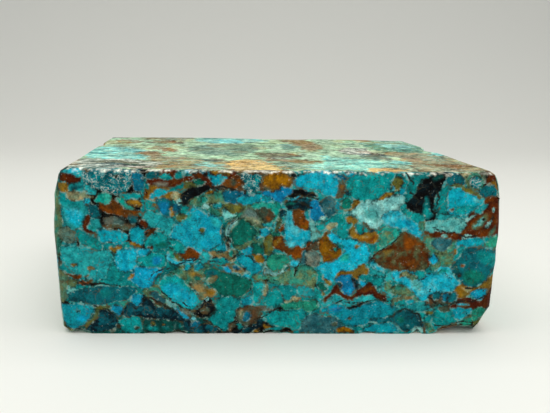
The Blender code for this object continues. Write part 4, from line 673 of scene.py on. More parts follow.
    (Stone.UMBER, 68, 60, 70, 60.4, 73, 59.4, 70.4, 58.4, 70.2, 56.4, 68.8, 58),
    (Stone.MAROON, 70.2, 57.5, 71, 59, 73, 59.3, 74.3, 57, 75.2, 54, 73, 54.6, 70.6, 55),
    (Stone.OCHRE, 71.4, 56, 73.4, 56.6, 75, 54.4, 75.6, 52.6, 74, 54, 71.4, 55),
    (Stone.DEEP, 67.8, 52.4, 70.5, 55.2, 73, 54.9, 75, 53.6, 75.2, 51.4, 73.5, 50.1, 71.5, 50, 69.3, 51.2),
    (Stone.MAROON, 49.8, 38, 54, 39.4, 64, 38.5, 65, 42, 65, 44.7, 70, 47, 70, 50.4, 75, 51, 79, 50, 79, 38,
     74, 36.6, 70, 35.8, 62, 34.8, 56, 35.8, 50.3, 37),
    (Stone.PALE, 50.1, 38.5, 49.2, 40, 50.2, 41.7, 54, 42.5, 57, 43.3, 60, 43.8, 63, 43.3, 65.2, 41.2,
     64.5, 39.3, 63, 37.8, 58, 38.3, 55.5, 38.4, 54, 38.8, 52.4, 37.7),
    (Stone.SEDGE, 47.2, 41.2, 48.8, 42.4, 50.6, 41.6, 50.4, 39, 49.4, 38.2, 48.2, 39.6),
    (Stone.AQUA, 54, 43.6, 55, 44.8, 58, 44.6, 62, 44, 66, 44.4, 65, 42.6, 61, 43.4, 57, 42.6, 54, 42.1),
    (Stone.CHALK, 64.1, 43, 66.5, 44.1, 68.2, 44.6, 66.7, 43, 65, 42),
    (Stone.AQUA, 67.8, 46, 70, 48.2, 72.1, 48.5, 72, 47, 69.7, 44.9, 67.3, 44.6),
    (Stone.SEDGE, 66.3, 40.8, 68, 42.7, 70, 44.7, 72.1, 45.7, 73, 44, 71.7, 41.3, 70.2, 39.8, 68.5, 38.8,
     66.8, 38.8),
    (Stone.PALE, 67.2, 40.6, 68.8, 42.4, 70.6, 44, 71.4, 43, 70, 41, 68.4, 39.6),
    (Stone.PIT_SHADE, 70.3, 43.4, 71.2, 43.6, 71.3, 42.6, 70.5, 42.5),
    (Stone.CHALK, 71.3, 39.8, 73.6, 43.2, 74.5, 44.2, 73.4, 41.3, 72.2, 39.6),
    (Stone.CHALK, 73.3, 46.8, 74.2, 47, 74.4, 45.4, 73.5, 45.2),
    (Stone.SEDGE, 73.4, 38.8, 75.2, 41.4, 75.4, 38.2, 74.2, 36.4, 72.6, 36, 72.4, 37),
    (Stone.CHALK, 63.6, 36.2, 65, 37.4, 66.7, 37.2, 67.3, 36, 65.5, 35.3),
    (Stone.PALE, 56.1, 36.8, 57.5, 37.5, 58.7, 36.8, 57.5, 36),
    (Stone.SEDGE, 50, 36.8, 52, 36.8, 55, 35.8, 60.5, 35.4, 62, 34.8, 61.2, 31.5, 58, 29.6, 53, 30.2,
     50.8, 33),
    (Stone.STEEL, 52.4, 35, 54.5, 36, 58, 36.1, 60.7, 35, 60.2, 33.3, 58.9, 31.8, 56, 31.1, 54, 31.8,
     52.3, 33.5),
    (Stone.CYAN, 61.4, 34, 63, 35.2, 66.5, 36, 69.5, 36.2, 72, 35, 70.7, 33.2, 68, 32.3, 65, 32.6,
     62, 32.8),
    (Stone.SKY, 65.4, 34.2, 67, 35.2, 69, 34.8, 69, 33.6, 66.8, 33.2),
    (Stone.GREEN, 71.8, 34, 74, 36.2, 79, 37.4, 79, 31.8, 72, 32.4),
    (Stone.TEAL, 61.4, 31.8, 63.6, 33.2, 66, 32.6, 64.4, 30, 63.4, 27, 61, 27.4),
    (Stone.DEEP, 62.9, 28, 64, 31.2, 66, 32.5, 69, 32.7, 72.5, 32, 79, 31, 79, 26, 75.5, 23, 73.5, 20.3,
     71.5, 18.8, 69, 17.8, 66.5, 18.3, 64.5, 19.6, 62.8, 22, 60.8, 24, 60.4, 26),
    (Stone.LAGOON, 69, 31.6, 73, 31.4, 79, 30, 79, 25, 75.4, 24.8, 71.6, 26.2, 68.6, 29),
    (Stone.JADE, 64.6, 24.4, 68, 25.2, 72, 24, 74.2, 22, 73, 20.2, 71, 18.9, 69, 18, 66.6, 18.5, 64.6, 20),
    (Stone.PINE, 60.8, 25.6, 62.6, 27.4, 63.6, 25, 63.4, 21.6, 61.6, 23.4),
    (Stone.RUST, 64, 26.4, 65.2, 26.4, 65.2, 25.3, 64.2, 25.2),
    (Stone.RUST, 63.2, 22.8, 64.2, 22.6, 64, 21.4, 63.4, 21.6),
    (Stone.OCHRE, 60.9, 31.8, 62.4, 32, 62.6, 30.4, 61.2, 30),
    (Stone.SEDGE, 51.9, 30.6, 58, 30.2, 61.2, 30.6, 61.2, 28, 60.7, 25.3, 57, 25.3, 53, 23.8, 52.8, 27),
    (Stone.OLIVE, 57, 26.4, 58, 28, 60.4, 28, 62.6, 27.4, 61, 26.2, 58.6, 25.6),
    (Stone.AZURE, 52.5, 28.5, 54, 30.4, 55.5, 29.1, 55.7, 27.3, 54, 26.1, 52.6, 27),
    (Stone.POWDER, 39.6, 24.1, 45, 23.9, 48, 23.7, 50, 21.6, 52, 22.4, 54, 23.4, 57, 25.7, 60.7, 25.2,
     61.2, 22.8, 62.7, 20.8, 64, 19.5, 63.5, 17.7, 61, 16.3, 58.5, 15.1, 56.5, 14.6, 55.2, 15.1, 54, 15.3,
     53.3, 14, 53, 12.8, 51, 12.6, 49, 14.3, 47, 16.8, 44, 19.3, 40, 20.3),
    (Stone.SKY, 55, 20.4, 58, 21.8, 60.6, 21.2, 62, 19.4, 61, 17.4, 58, 16.4, 55.4, 16.6),
    (Stone.SEA, 53.4, 22.8, 56.6, 25.2, 60.3, 24.8, 60.4, 22.8, 57, 22.2),
    (Stone.PALE, 44.6, 22.6, 48, 21.6, 51.4, 18.8, 50.4, 15.6, 48, 17, 45.6, 20),
    (Stone.TEAL, 47.3, 23.3, 48.5, 24.2, 50.5, 24.5, 52, 23.8, 51.7, 22, 50.3, 20.9, 49, 20.4, 48, 21.8),
    (Stone.MOSS, 42, 23.5, 46, 23.4, 48.1, 22.8, 48.9, 20.8, 46.5, 20.4, 44, 21.8, 42, 22.2),
    (Stone.OCHRE, 41.9, 22.4, 43.6, 22.4, 43.6, 21.7, 42, 21.7),
    (Stone.SEDGE, 39.8, 18.4, 43.5, 19, 46, 18, 48.6, 15, 50.2, 13, 48.5, 11.8, 45, 12.8, 42, 14.8,
     39.8, 15.3),
    (Stone.CYAN, 44.8, 12.6, 46.6, 13.6, 48.6, 13, 48, 12, 46.2, 11.6),
    (Stone.LAGOON, 40.6, 15, 42.6, 14.9, 44.6, 13.9, 44.4, 13.2, 42, 13.8, 40.4, 14.2),
    (Stone.TAN, 40, 13.6, 42, 14.1, 44, 14.9, 46.5, 14.4, 48.7, 14.6, 46.5, 13.2, 44, 13.2, 41.5, 12.6,
     41, 10.8, 39.6, 10.5),
    (Stone.AQUA, 39.8, 10.2, 43, 10.9, 47, 11.7, 49.5, 12.6, 51.7, 12.5, 52.2, 11.1, 55, 10.6, 54.6, 9.7,
     52.6, 9.4, 52.4, 8.3, 50.5, 8.3, 48.5, 9.1, 45, 9.3, 42.3, 9.8),
    (Stone.UMBER, 52.2, 12.6, 53.4, 12.6, 53.4, 11.4, 52.3, 11.5),
    (Stone.OLIVE, 54.8, 12.2, 55.8, 12.8, 56.7, 11.6, 56, 10.4, 55, 10.6),
    (Stone.UMBER, 54, 10, 57, 11.2, 61, 11.6, 64, 12.6, 64, 16, 60, 16, 56, 15.6, 53, 14.8),
    (Stone.DEEP, 54.4, 14.6, 55.2, 16.3, 57, 16.4, 57.5, 15, 56.8, 13.2, 55.2, 12.8),
    (Stone.BAY, 57.7, 14.8, 58.8, 15.8, 60.4, 15.4, 61.2, 14.2, 60.4, 12.8, 58.6, 12.4),
    (Stone.DEEP, 61.3, 15.6, 62.4, 17.2, 63.9, 16.8, 64.2, 15, 63.4, 13.6, 61.8, 13.8),
    (Stone.DEEP, 60.2, 14, 61.2, 16.2, 62.6, 16.5, 63.8, 15, 63.5, 12.7, 62, 11.5, 60.6, 12.1),
    (Stone.OCHRE, 61.8, 16.9, 63.5, 18.2, 64.5, 19.6, 66.5, 18.2, 69, 17.7, 71, 17.9, 73, 19.7, 75, 22,
     79, 23, 79, 17, 73.5, 17.1, 70, 16.1, 67.5, 14.8, 66, 13.6, 63.6, 13.3, 63.6, 15.5),
    (Stone.SAND, 64, 19, 67, 17.8, 70, 17.2, 68, 15.6, 66, 16.4, 64.2, 17.4),
    (Stone.MAROON, 63.3, 13.4, 66, 14, 68.5, 14.2, 70.5, 13.2, 72, 12.2, 73.5, 13.7, 75.3, 17.7, 79, 18,
     79, 9.8, 70, 9.7, 66, 9.4, 62, 9.7, 60.3, 10.9, 63, 11.7),
    (Stone.AZURE, 67.6, 15.6, 70, 16.6, 73, 17.5, 74.5, 16.9, 74.1, 14.8, 72.3, 12.5, 71, 13.2, 69.4, 14.4),
    (Stone.POWDER, 63.6, 11.4, 65, 12.1, 67, 11.8, 69, 11.6, 67, 10.8, 64.6, 10.7),
    (Stone.CYAN, 62.3, 9.9, 65, 10.1, 69.9, 9.8, 69.2, 7.8, 67, 6.1, 65, 5.2, 63.1, 5.8, 62.1, 7.8),
    (Stone.GREEN, 69.6, 9.7, 74, 10.4, 74.5, 8, 72.7, 6, 71, 4.8, 69.6, 5.3, 69.1, 7.5),
    (Stone.LAGOON, 54.8, 9.6, 57, 10, 59.5, 9, 61, 9.2, 62.4, 7.9, 63, 5.8, 64.7, 4.9, 62, 3.3, 59, 3,
     57, 3.3, 55.3, 4.8, 54.6, 7),
    (Stone.LAGOON, 56.6, 8, 58.6, 8.6, 60.6, 7.6, 60.4, 5.4, 57.6, 4.8),
    (Stone.TEAL, 52, 6.3, 53.5, 7.4, 55.5, 6.9, 55.2, 4.7, 53.4, 4.6),
    (Stone.UMBER, 56.8, 10, 59, 11.2, 61.2, 10.9, 60.6, 8.9, 58.5, 8.3),
    (Stone.OLIVE, 51.8, 8.6, 53.5, 9, 55.3, 8.6, 55, 7.4, 53, 7.3),
    (Stone.DEEP, 39.8, 6, 42.5, 8.7, 45, 9.3, 47.5, 9, 49.6, 7.6, 51, 5.5, 51.7, 3, 50, 2.4, 48.5, 2.3,
     46, 0.8, 44.5, 1.3, 43.5, 2.4, 41.8, 4.3, 39.8, 4.8),
    (Stone.JADE, 41, 6, 43.4, 7.6, 45.4, 6.6, 45, 4.2, 42.6, 3.8),
    (Stone.CHALK, 45.6, 3.4, 46.8, 3.7, 47.2, 2.7, 46, 2.4),
    (Stone.INK, 49, 8.7, 50.6, 7.2, 52.2, 4, 53, 1, 52, 0.3, 51.4, 3, 50.4, 5.4, 48.4, 8.2),
    (Stone.CHALK, 47.8, 0.3, 48.4, 2.2, 50, 3, 51.7, 2.4, 52.3, 0.8, 51.5, 0.4, 50, 1.9, 48.8, 0.3),
    (Stone.PIT_SHADE, 49, 0.3, 49.4, 1.6, 50.4, 1.7, 51.1, 0.4),
    (Stone.RUST, 52, 1.8, 52.7, 2.5, 53.4, 1.4, 52.8, 0.2),
    (Stone.SEDGE, 52.8, 4.6, 54.5, 4.2, 55.7, 2.6, 57.7, 1, 54, 0.2, 53.2, 2),
    (Stone.UMBER, 56.8, 1.2, 58.5, 2.7, 61, 3, 64, 4, 66, 4.6, 65.4, 2.4, 62.5, 1.2, 60, 0.6),
    (Stone.RUST, 58.4, 1.8, 60, 2.6, 62, 2.4, 64, 3.4, 64, 2.4, 61, 1.4),
    (Stone.CHALK, 64.4, 4.6, 65.4, 4.7, 65.4, 3.5, 64.5, 3.4),
    (Stone.GREEN, 65.3, 4.8, 67.5, 6.2, 69.6, 7, 70, 4.5, 69.2, 2.8, 66.4, 3),
    (Stone.OLIVE, 69.8, 4.5, 71.5, 5.2, 74, 6.4, 74, 4.6, 71, 2.4),
    (Stone.PIT_SHADE, 68, 7.5, 69, 7.5, 69, 6.5, 68.1, 6.5),
    (Stone.PIT_SHADE, 71.2, 5.6, 72.6, 6.4, 72.6, 5.6, 71.6, 5),
]

# The top's patches in the same way, from above: across, and back from the front.
TOP_STONES = [
    (Stone.FROST, -90, -5, 90, -5, 90, 130, -90, 130),
    (Stone.LICHEN, -38, 85, -12, 85, -8, 60, -16, 36, -32, 44, -40, 60),
    (Stone.MINT, -82, 66, -62, 68, -54, 50, -55, 38, -51, 28, -58, 24, -74, 28, -80, 40),
    (Stone.FROST, -82, 92, -72, 92, -66, 80, -70, 66, -82, 68),
    (Stone.MINT, -42, 114, -6, 114, -4, 95, -15, 88, -38, 90),
    (Stone.FROST, -46, 86, -36, 84, -35, 70, -44, 70),
    (Stone.DRIFT, -64, 118, -42, 118, -42, 100, -54, 97, -66, 104),
    (Stone.BARK, -88, 118, -72, 118, -74, 108, -86, 106),
    (Stone.DRIFT, -76, 104, -68, 100, -62, 84, -68, 80, -76, 92),
    (Stone.BARK, -57, 97, -46, 98, -43, 86, -53, 82, -60, 88),
    (Stone.CLAY, -55, 72, -48, 70, -43, 56, -45, 50, -52, 56),
    (Stone.CLAY, -60, 52, -50, 52, -46, 40, -36, 30, -42, 24, -50, 36, -57, 42),
    (Stone.DRIFT, -48, 38, -40, 40, -32, 28, -24, 30, -18, 22, -22, 2, -42, 2, -44, 16, -52, 26),
    (Stone.HOAR, -80, 26, -58, 27, -46, 22, -42, 10, -44, 3, -80, 3),
    (Stone.BARK, -70, 22, -60, 24, -52, 18, -54, 12, -66, 14),
    (Stone.SOOT, -68, 12, -58, 15, -48, 13, -50, 10, -62, 8),
    (Stone.SOOT, -34, 27, -24, 27, -20, 23, -30, 23), (Stone.MINT, -30, 20, -24, 18, -22, 8, -28, 8),
    (Stone.HONEY, -19, 20, -15, 26, -10, 30, -7, 26, -3, 13, 2, 9, 1, -3, -21, -3, -20, 12),
    (Stone.BARK, -9, 52, -4, 54, 8, 52, 11, 42, 4, 34, -6, 34, -8, 42),
    (Stone.CLAY, -8, 32, 8, 33, 16, 24, 12, 18, 2, 22, -6, 26),
    (Stone.LICHEN, 1, 20, 6, 22, 8, 14, 4, 4, 0, 12),
    (Stone.CLAY, 2, 118, 16, 118, 20, 92, 23, 76, 20, 64, 12, 62, 10, 80, 6, 96),
    (Stone.MOSS, 3, 88, 9, 88, 9, 64, 2, 62),
    (Stone.ICE, 8, 14, 16, 20, 18, 34, 20, 50, 26, 36, 38, 32, 43, 22, 42, 8, 32, 2, 20, 4, 8, 1),
    (Stone.FROST, 16, 60, 20, 66, 22, 50, 18, 42), (Stone.HOAR, 28, 72, 40, 76, 44, 58, 38, 46, 28, 50),
    (Stone.SOOT, 34, 54, 48, 52, 52, 46, 44, 45, 34, 49), (Stone.HONEY, 30, 8, 44, 10, 46, -3, 30, -3),
    (Stone.SLATE, 34, 46, 42, 48, 45, 34, 40, 28, 36, 34),
    (Stone.DRIFT, 45, 62, 70, 56, 78, 30, 80, -3, 46, -3, 46, 18, 52, 30, 46, 44),
    (Stone.MINT, 42, 28, 49, 30, 50, 18, 44, 14), (Stone.CLAY, 49, 38, 58, 42, 56, 26, 50, 24),
    (Stone.SEDGE, 44, 100, 66, 97, 70, 80, 66, 58, 50, 60, 42, 78),
    (Stone.MINT, 50, 96, 64, 94, 66, 80, 58, 72, 50, 80),
    (Stone.LICHEN, 54, 118, 72, 118, 70, 98, 58, 97, 52, 104),
    (Stone.CLAY, 43, 116, 51, 116, 51, 102, 45, 100), (Stone.MINT, 66, 60, 74, 58, 74, 48, 66, 46),
    (Stone.BARK, 56, 22, 68, 24, 74, 10, 60, 8),
]


def beyond(places: np.ndarray, start: np.ndarray, end: np.ndarray) -> np.ndarray:
    """How far each place is from the straight line between two points."""
    run = end - start
    share = np.clip(((places - start) @ run) / max(float(run @ run), TINY), 0.0, 1.0)
    return np.linalg.norm(places - start - share[:, None] * run, axis=1)


@dataclass(frozen=True)
class Drawing:
    """Stones drawn as closed outlines on one flat face, in millimetres.

    Distances to an outline are measured up to reach, and its corners lose the share cut of each side. A stone
    whose area is over ground is only what others lie on. A stone of which more than the share held lies inside
    another, of the same family, is a patch of that one, and blends into it over the width soft.
    """

    stones: list[tuple[Stone | float, ...]]
    reach: float = 1.5
    soft: float = 1.1
    ground: float = 500.0
    cut: float = 0.22
    held: float = 0.85

    def outline(self, corners: list[float]) -> np.ndarray:
        """A stone's outline with its corners cut once."""
        points = np.array(corners, float).reshape(-1, 2)
        after = np.roll(points, -1, axis=0)
        near, far = 1.0 - self.cut, self.cut
        return np.stack([points * near + after * far, points * far + after * near], axis=1).reshape(-1, 2)

    def area(self, ring: np.ndarray) -> float:
        """The area inside a ring, in square millimetres."""
        after = np.roll(ring, -1, axis=0)
        return abs(float(np.sum(ring[:, 0] * after[:, 1] - after[:, 0] * ring[:, 1]))) / 2.0

    def is_patch(self, kind: Stone, parent: int, share: float, areas: list[float]) -> bool:
        """Whether a stone with a given share of itself on its parent is only a patch of it."""
        if parent < 0 or kind is Stone.PIT_SHADE or share <= self.held or areas[parent] >= self.ground:
            return False
        return (self.stones[parent][0] in WARM) == (kind in WARM)

    def read(self, places: np.ndarray, looks: np.ndarray) -> tuple[np.ndarray, np.ndarray, np.ndarray]:
        """Find the stone that each place lies in, and its look.

        Args:
            places: Places on the face, one per row.
            looks: Each stone's look, one per row.

        Returns:
            The number of each place's stone, its distance to the stone's edge, and its look.
        """
        owner = np.full(len(places), -1)
        border = np.full(len(places), self.reach)
        look = np.zeros((len(places), looks.shape[1]))
        areas = []
        for number, (kind, *corners) in enumerate(self.stones):
            ring = self.outline(corners)
            areas.append(self.area(ring))
            low, high = ring.min(0) - self.reach, ring.max(0) + self.reach
            near = np.nonzero(((places > low) & (places < high)).all(1))[0]
            inside, gap = self.measure(places[near], ring)
            within = near[inside]
            if not len(within):
                continue
            parents, counts = np.unique(owner[within], return_counts=True)
            parent = int(parents[counts.argmax()])
            if self.is_patch(kind, parent, counts.max() / len(within), areas):
                share = np.clip(gap[inside] / self.soft, 0.0, 1.0)[:, None]
                look[within] = look[within] * (1.0 - share) + looks[number] * share
                continue
            look[within] = looks[number]
            owner[within] = number
            border[near] = np.where(inside, gap, np.minimum(border[near], gap))
        return owner, border, look

    def measure(self, places: np.ndarray, ring: np.ndarray) -> tuple[np.ndarray, np.ndarray]:
        """Which places lie inside a ring, and how far each is from its line."""
        inside = np.zeros(len(places), bool)
        gap = np.full(len(places), self.reach)
        for start, end in zip(ring, np.roll(ring, -1, axis=0)):
            gap = np.minimum(gap, beyond(places, start, end))
            run = end - start
            rise = run[1] if abs(run[1]) > TINY else TINY
            crosses = (start[1] > places[:, 1]) != (end[1] > places[:, 1])
            inside ^= crosses & (places[:, 0] < start[0] + run[0] * (places[:, 1] - start[1]) / rise)
        return inside, gap


@dataclass
class HiddenStones:
    """Stones of mixed sizes scattered through the block, for the faces that have no drawing of their own.

    Lengths are in metres, and scales are how often each size comes, as a multiple of the usual one.
    """

    seed: int = 11
    spacing: float = 0.0072
    flatness: float = 0.6
    shares: dict[Stone, int] = field(default_factory=lambda: {
        Stone.SKY: 8, Stone.CYAN: 9, Stone.AQUA: 10, Stone.TEAL: 10, Stone.LAGOON: 8, Stone.SEA: 7,
        Stone.GREEN: 6, Stone.POWDER: 6, Stone.PALE: 6, Stone.BAY: 5, Stone.JADE: 4, Stone.DEEP: 5,
        Stone.SEDGE: 6, Stone.OCHRE: 5, Stone.RUST: 4, Stone.UMBER: 3, Stone.TAN: 3, Stone.MAROON: 2,
        Stone.GREY: 3, Stone.INK: 3, Stone.CHALK: 3})
    scales: dict[float, float] = field(default_factory=lambda: {0.55: 0.35, 0.8: 0.3, 1.1: 0.2, 1.9: 0.15})
    nearest: int = 8
    bend_size: float = 0.007
    bend: float = 0.0018
    curl: float = 0.0006
    fray: float = 0.0004
    kinds: list[Stone] = field(init=False)
    sizes: list[float] = field(init=False)
    tree: kdtree.KDTree = field(init=False)

    def scatter(self, low: Vector, high: Vector) -> None:
        """Place the stones in a box, the same ones each time.

        Args:
            low: The box's lowest corner.
            high: The box's highest corner.
        """
        rng = np.random.default_rng(self.seed)
        size = high - low
        count = int(size.x * size.y * size.z / (self.spacing ** 3 * self.flatness))
        names = list(self.shares)
        odds = np.array([self.shares[name] for name in names], float)
        picks = rng.choice(len(names), count, p=odds / odds.sum())
        self.kinds = [names[pick] for pick in picks]
        self.sizes = rng.choice(list(self.scales), count, p=list(self.scales.values())).tolist()
        self.tree = kdtree.KDTree(count)
        for number, share in enumerate(rng.random((count, 3))):
            at = [start + length * part for start, part, length in zip(low, share, size)]
            self.tree.insert((at[0], at[1], at[2] / self.flatness), number)
        self.tree.balance()

    def read(self, at: Vector, curl: np.ndarray, fray: np.ndarray) -> tuple[int, float]:
        """Find the stone that a place lies in, once its outline is bent.

        Args:
            at: The place, in metres.
            curl: The finer noise there.
            fray: The finest noise there.

        Returns:
            The stone's number, and the distance to its edge in millimetres.
        """
        twist = curl * self.curl + fray * self.fray
        at = at + noise.noise_vector(at / self.bend_size) * self.bend + Vector((twist[0], twist[1], twist[1]))
        near = self.tree.find_n((at.x, at.y, at.z / self.flatness), self.nearest)
        ranked = sorted((gap / self.sizes[number], number) for _, number, gap in near)
        first, second = ranked[0], ranked[1]
        return first[1], (second[0] - first[0]) * self.sizes[first[1]] / 2.0 / MM


@dataclass(frozen=True)
class EdgeWearAndHighlight:
    """The pale line along the edge between front and top, chipped wear and painted highlight, in millimetres.
    """

    colour: Triple = (0.86, 0.85, 0.70)
    strength: float = 0.9
    middle: float = 0.2
    width: float = 0.6
    fullness: float = 1.3
    coarse: float = 0.7
    fine: float = 0.9
    broken: tuple[float, float] = (0.75, 1.2)

    def share(self, reach: np.ndarray, noises: Arrays) -> np.ndarray:
        """How pale each point is from chipped wear and painted highlight, from 0 to 1, given its distance from
        the edge.
        """
        whole, gaps = self.broken
        ragged = reach - self.coarse * noises["coarse"] - self.fine * noises["fine"]
        line = np.clip(self.fullness - np.abs(ragged - self.middle) / self.width, 0.0, 1.0)
        return line * np.clip(whole + gaps * noises["fine"], 0.0, 1.0) * self.strength


@dataclass
class StoneMap:
    """The colours, edge distance, mottling and dryness of every point on the block's surface.

    Lengths are in millimetres. The shifts lead from the part's origin to the drawings' own, the middle of the
    front's lower edge. On the lip, a narrow strip behind the front's upper edge, the top shows the front's
    stones. Haze is what a stone's colour leaves to the shine.
    """

    across_shift: float = 3.2027
    depth_shift: float = 56.868
    height: float = 59.5
    lip: tuple[float, float] = (0.8, 3.2)
    lip_rise: float = 0.8
    lip_dry: tuple[float, float] = (3.0, 0.2)
    top_bend: tuple[float, float] = (7.0, 4.0)
    front_bend: Triple = (0.9, 0.55, 0.3)
    under_share: float = 0.28
    dry_tint: Triple = (0.46, 0.41, 0.24)
    dry_share: float = 0.27
    haze: float = 0.006
    top_haze: float = 0.3
    hidden_haze: float = 0.5
    unlike: float = 0.11
    seed: int = 3
    crack_reach: float = 3.0
    pit_slope: float = 1.2
    pit_depth: float = 0.9
    main: np.ndarray = field(init=False)
    other: np.ndarray = field(init=False)
    border: np.ndarray = field(init=False)
    mottle: np.ndarray = field(init=False)
    lace: np.ndarray = field(init=False)
    pit: np.ndarray = field(init=False)

    def paint(self, points: np.ndarray, normals: np.ndarray) -> Arrays:
        """Colour each point by the stone that it lies in.

        Args:
            points: Places on the block in metres, one per row.
            normals: The way the surface looks there.

        Returns:
            The arrays by name: two colours, edge and crack distances, mottling, lace, dryness and pits.
        """
        noise.seed_set(self.seed)
        count = len(points)
        self.main, self.other = np.ones((count, 4)), np.ones((count, 4))
        self.border, self.mottle, self.lace, self.pit = (np.zeros(count) for _ in range(4))
        noises = self.noises(points)
        front = normals[:, 1] < -SQUARELY
        top = (normals[:, 2] > SQUARELY) & ~front
        across = points[:, 0] / MM - self.across_shift
        up = points[:, 2] / MM
        back = points[:, 1] / MM + self.depth_shift
        self.fill_hidden(points, ~front, noises)
        under = self.main.copy(), self.other.copy()
        broad, finer = self.top_bend
        above = np.stack([across, back], 1) + noises["bend"] * broad + noises["curl"] * finer
        self.fill_drawn(Drawing(TOP_STONES), above, top, self.haze * self.top_haze)
        for colours, before in zip((self.main, self.other), under):
            colours[top] = colours[top] * (1.0 - self.under_share) + before[top] * self.under_share
        least, added = self.lip
        rolled = top & (back < least + added * np.clip(noises["coarse"] + 0.25, 0.0, 1.0))
        place = np.stack([across, np.where(rolled, self.height - back * self.lip_rise, up)], 1)
        for name, amount in zip(("bend", "curl", "fray"), self.front_bend):
            place += noises[name] * amount
        self.fill_drawn(Drawing(FRONT_STONES), place, front | rolled, self.haze)
        dry = np.where(front, 0.0, 1.0)
        dry_from, least_dry = self.lip_dry
        dry[rolled] = np.clip(back[rolled] / dry_from, least_dry, 1.0)
        # Pale the front's upper edge, partly for chipped wear and partly as a painted highlight.
        self.wear_and_highlight_edge(np.where(front, self.height - up, back), front | top, noises)
        return {"stone": self.main, "other": self.other, "border": self.border, "mottle": self.mottle,
                "lace": self.lace, "dry": dry, "crack": self.cracks(place, front | rolled), "pit": self.pit}

    def noises(self, points: np.ndarray) -> Arrays:
        """Smooth noises at every point, and three that bend outlines, from broad to fine."""
        found = {name: np.zeros(len(points)) for name in NOISE_SIZES}
        found |= {name: np.zeros((len(points), 2)) for name in BEND_SIZES}
        for row, point in enumerate(points):
            at = Vector(point)
            for name, (size, shift) in NOISE_SIZES.items():
                found[name][row] = noise.noise(at / size + Vector((0.0, shift, 0.0)))
            for name, (size, shift, amount) in BEND_SIZES.items():
                twist = noise.noise_vector(at / size + Vector((0.0, 0.0, shift)))
                skewed = twist.y * BEND_SKEW
                found[name][row] = (twist.x + skewed) * amount, (twist.z + skewed) * amount
        return found

    def looks(self, kinds: list[Stone], haze: float) -> np.ndarray:
        """Each stone's two colours, mottling and lace in one row, less the share left to the shine."""
        rng = np.random.default_rng(self.seed)
        light = 1.0 + rng.normal(0.0, self.unlike, len(kinds))[:, None]
        main, other = (np.array([linear(kind.value[side]) for kind in kinds]) * light for side in (0, 1))
        mottle = np.array([[kind.value[2], float(kind is Stone.CRACKLE)] for kind in kinds])
        return np.hstack([np.maximum(main - haze, DARKEST), np.maximum(other - haze, DARKEST), mottle])

    def fill(self, rows: np.ndarray, looks: np.ndarray) -> None:
        """Give some points their looks."""
        self.main[rows, :3], self.other[rows, :3] = looks[:, :3], looks[:, 3:6]
        self.mottle[rows], self.lace[rows] = looks[:, 6], looks[:, 7]

    def fill_drawn(self, drawing: Drawing, places: np.ndarray, mask: np.ndarray, haze: float) -> None:
        """Give the masked points the looks of a drawing, and its pits, coloured near black as painted shade,
        their depth.
        """
        rows = np.nonzero(mask)[0]
        kinds = [stone[0] for stone in drawing.stones]
        numbers, gaps, looks = drawing.read(places[rows], self.looks(kinds, haze))
        self.fill(rows, looks)
        self.border[rows] = gaps * MM
        hollow = np.array([kind is Stone.PIT_SHADE for kind in kinds])
        self.pit[rows] = np.where(hollow[numbers], np.minimum(gaps * self.pit_slope, self.pit_depth), 0.0)

    def fill_hidden(self, points: np.ndarray, mask: np.ndarray, noises: Arrays) -> None:
        """Colour the masked points from the scattered stones, dry and pale."""
        stones = HiddenStones()
        stones.scatter(*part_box(NODE))
        rows = np.nonzero(mask)[0]
        numbers = np.zeros(len(rows), int)
        for n, row in enumerate(rows):
            numbers[n], gap = stones.read(Vector(points[row]), noises["curl"][row], noises["fray"][row])
            self.border[row] = gap * MM
        self.fill(rows, self.looks(stones.kinds, self.haze * self.hidden_haze)[numbers])
        for colours in (self.main, self.other):
            colours[rows, :3] *= 1.0 - self.dry_share
            colours[rows, :3] += np.array(self.dry_tint) * self.dry_share

    def cracks(self, places: np.ndarray, mask: np.ndarray) -> np.ndarray:
        """Each point's distance to the nearest drawn crack, in metres."""
        gaps = np.full(len(places), self.crack_reach)
        for line in FRONT_CRACKS:
            corners = np.array(line, float).reshape(-1, 2)
            for start, end in zip(corners, corners[1:]):
                gaps = np.minimum(gaps, beyond(places, start, end))
        return np.where(mask, gaps, self.crack_reach) * MM

    def wear_and_highlight_edge(self, reach: np.ndarray, mask: np.ndarray, noises: Arrays) -> None:
        """Pale the edge between front and top, for chipped wear and as painted highlight, where reach is each
        point's distance from it.
        """
        edge = EdgeWearAndHighlight()
        worn_and_lit = np.where(mask, edge.share(reach, noises), 0.0)[:, None]
        for colours in (self.main, self.other):
            colours[:, :3] = colours[:, :3] * (1.0 - worn_and_lit) + np.array(edge.colour) * worn_and_lit


class Wire:
    """A value in a material's node tree, which arithmetic turns into Math nodes."""

    def __init__(self, net: "Net", socket: bpy.types.NodeSocket) -> None:
        """Wrap one output socket."""
        self.net = net
        self.socket = socket

    def __add__(self, other: "Wire | float") -> "Wire":
        """The sum."""
        return self.net.maths("ADD", self, other)

    def __radd__(self, other: float) -> "Wire":
        """The sum, from the right."""
        return self.net.maths("ADD", other, self)

    def __sub__(self, other: "Wire | float") -> "Wire":
        """The difference."""
        return self.net.maths("SUBTRACT", self, other)

    def __rsub__(self, other: float) -> "Wire":
        """The difference, from the right."""
        return self.net.maths("SUBTRACT", other, self)

    def __mul__(self, other: "Wire | float") -> "Wire":
        """The product."""
        return self.net.maths("MULTIPLY", self, other)

    def __rmul__(self, other: float) -> "Wire":
        """The product, from the right."""
        return self.net.maths("MULTIPLY", other, self)


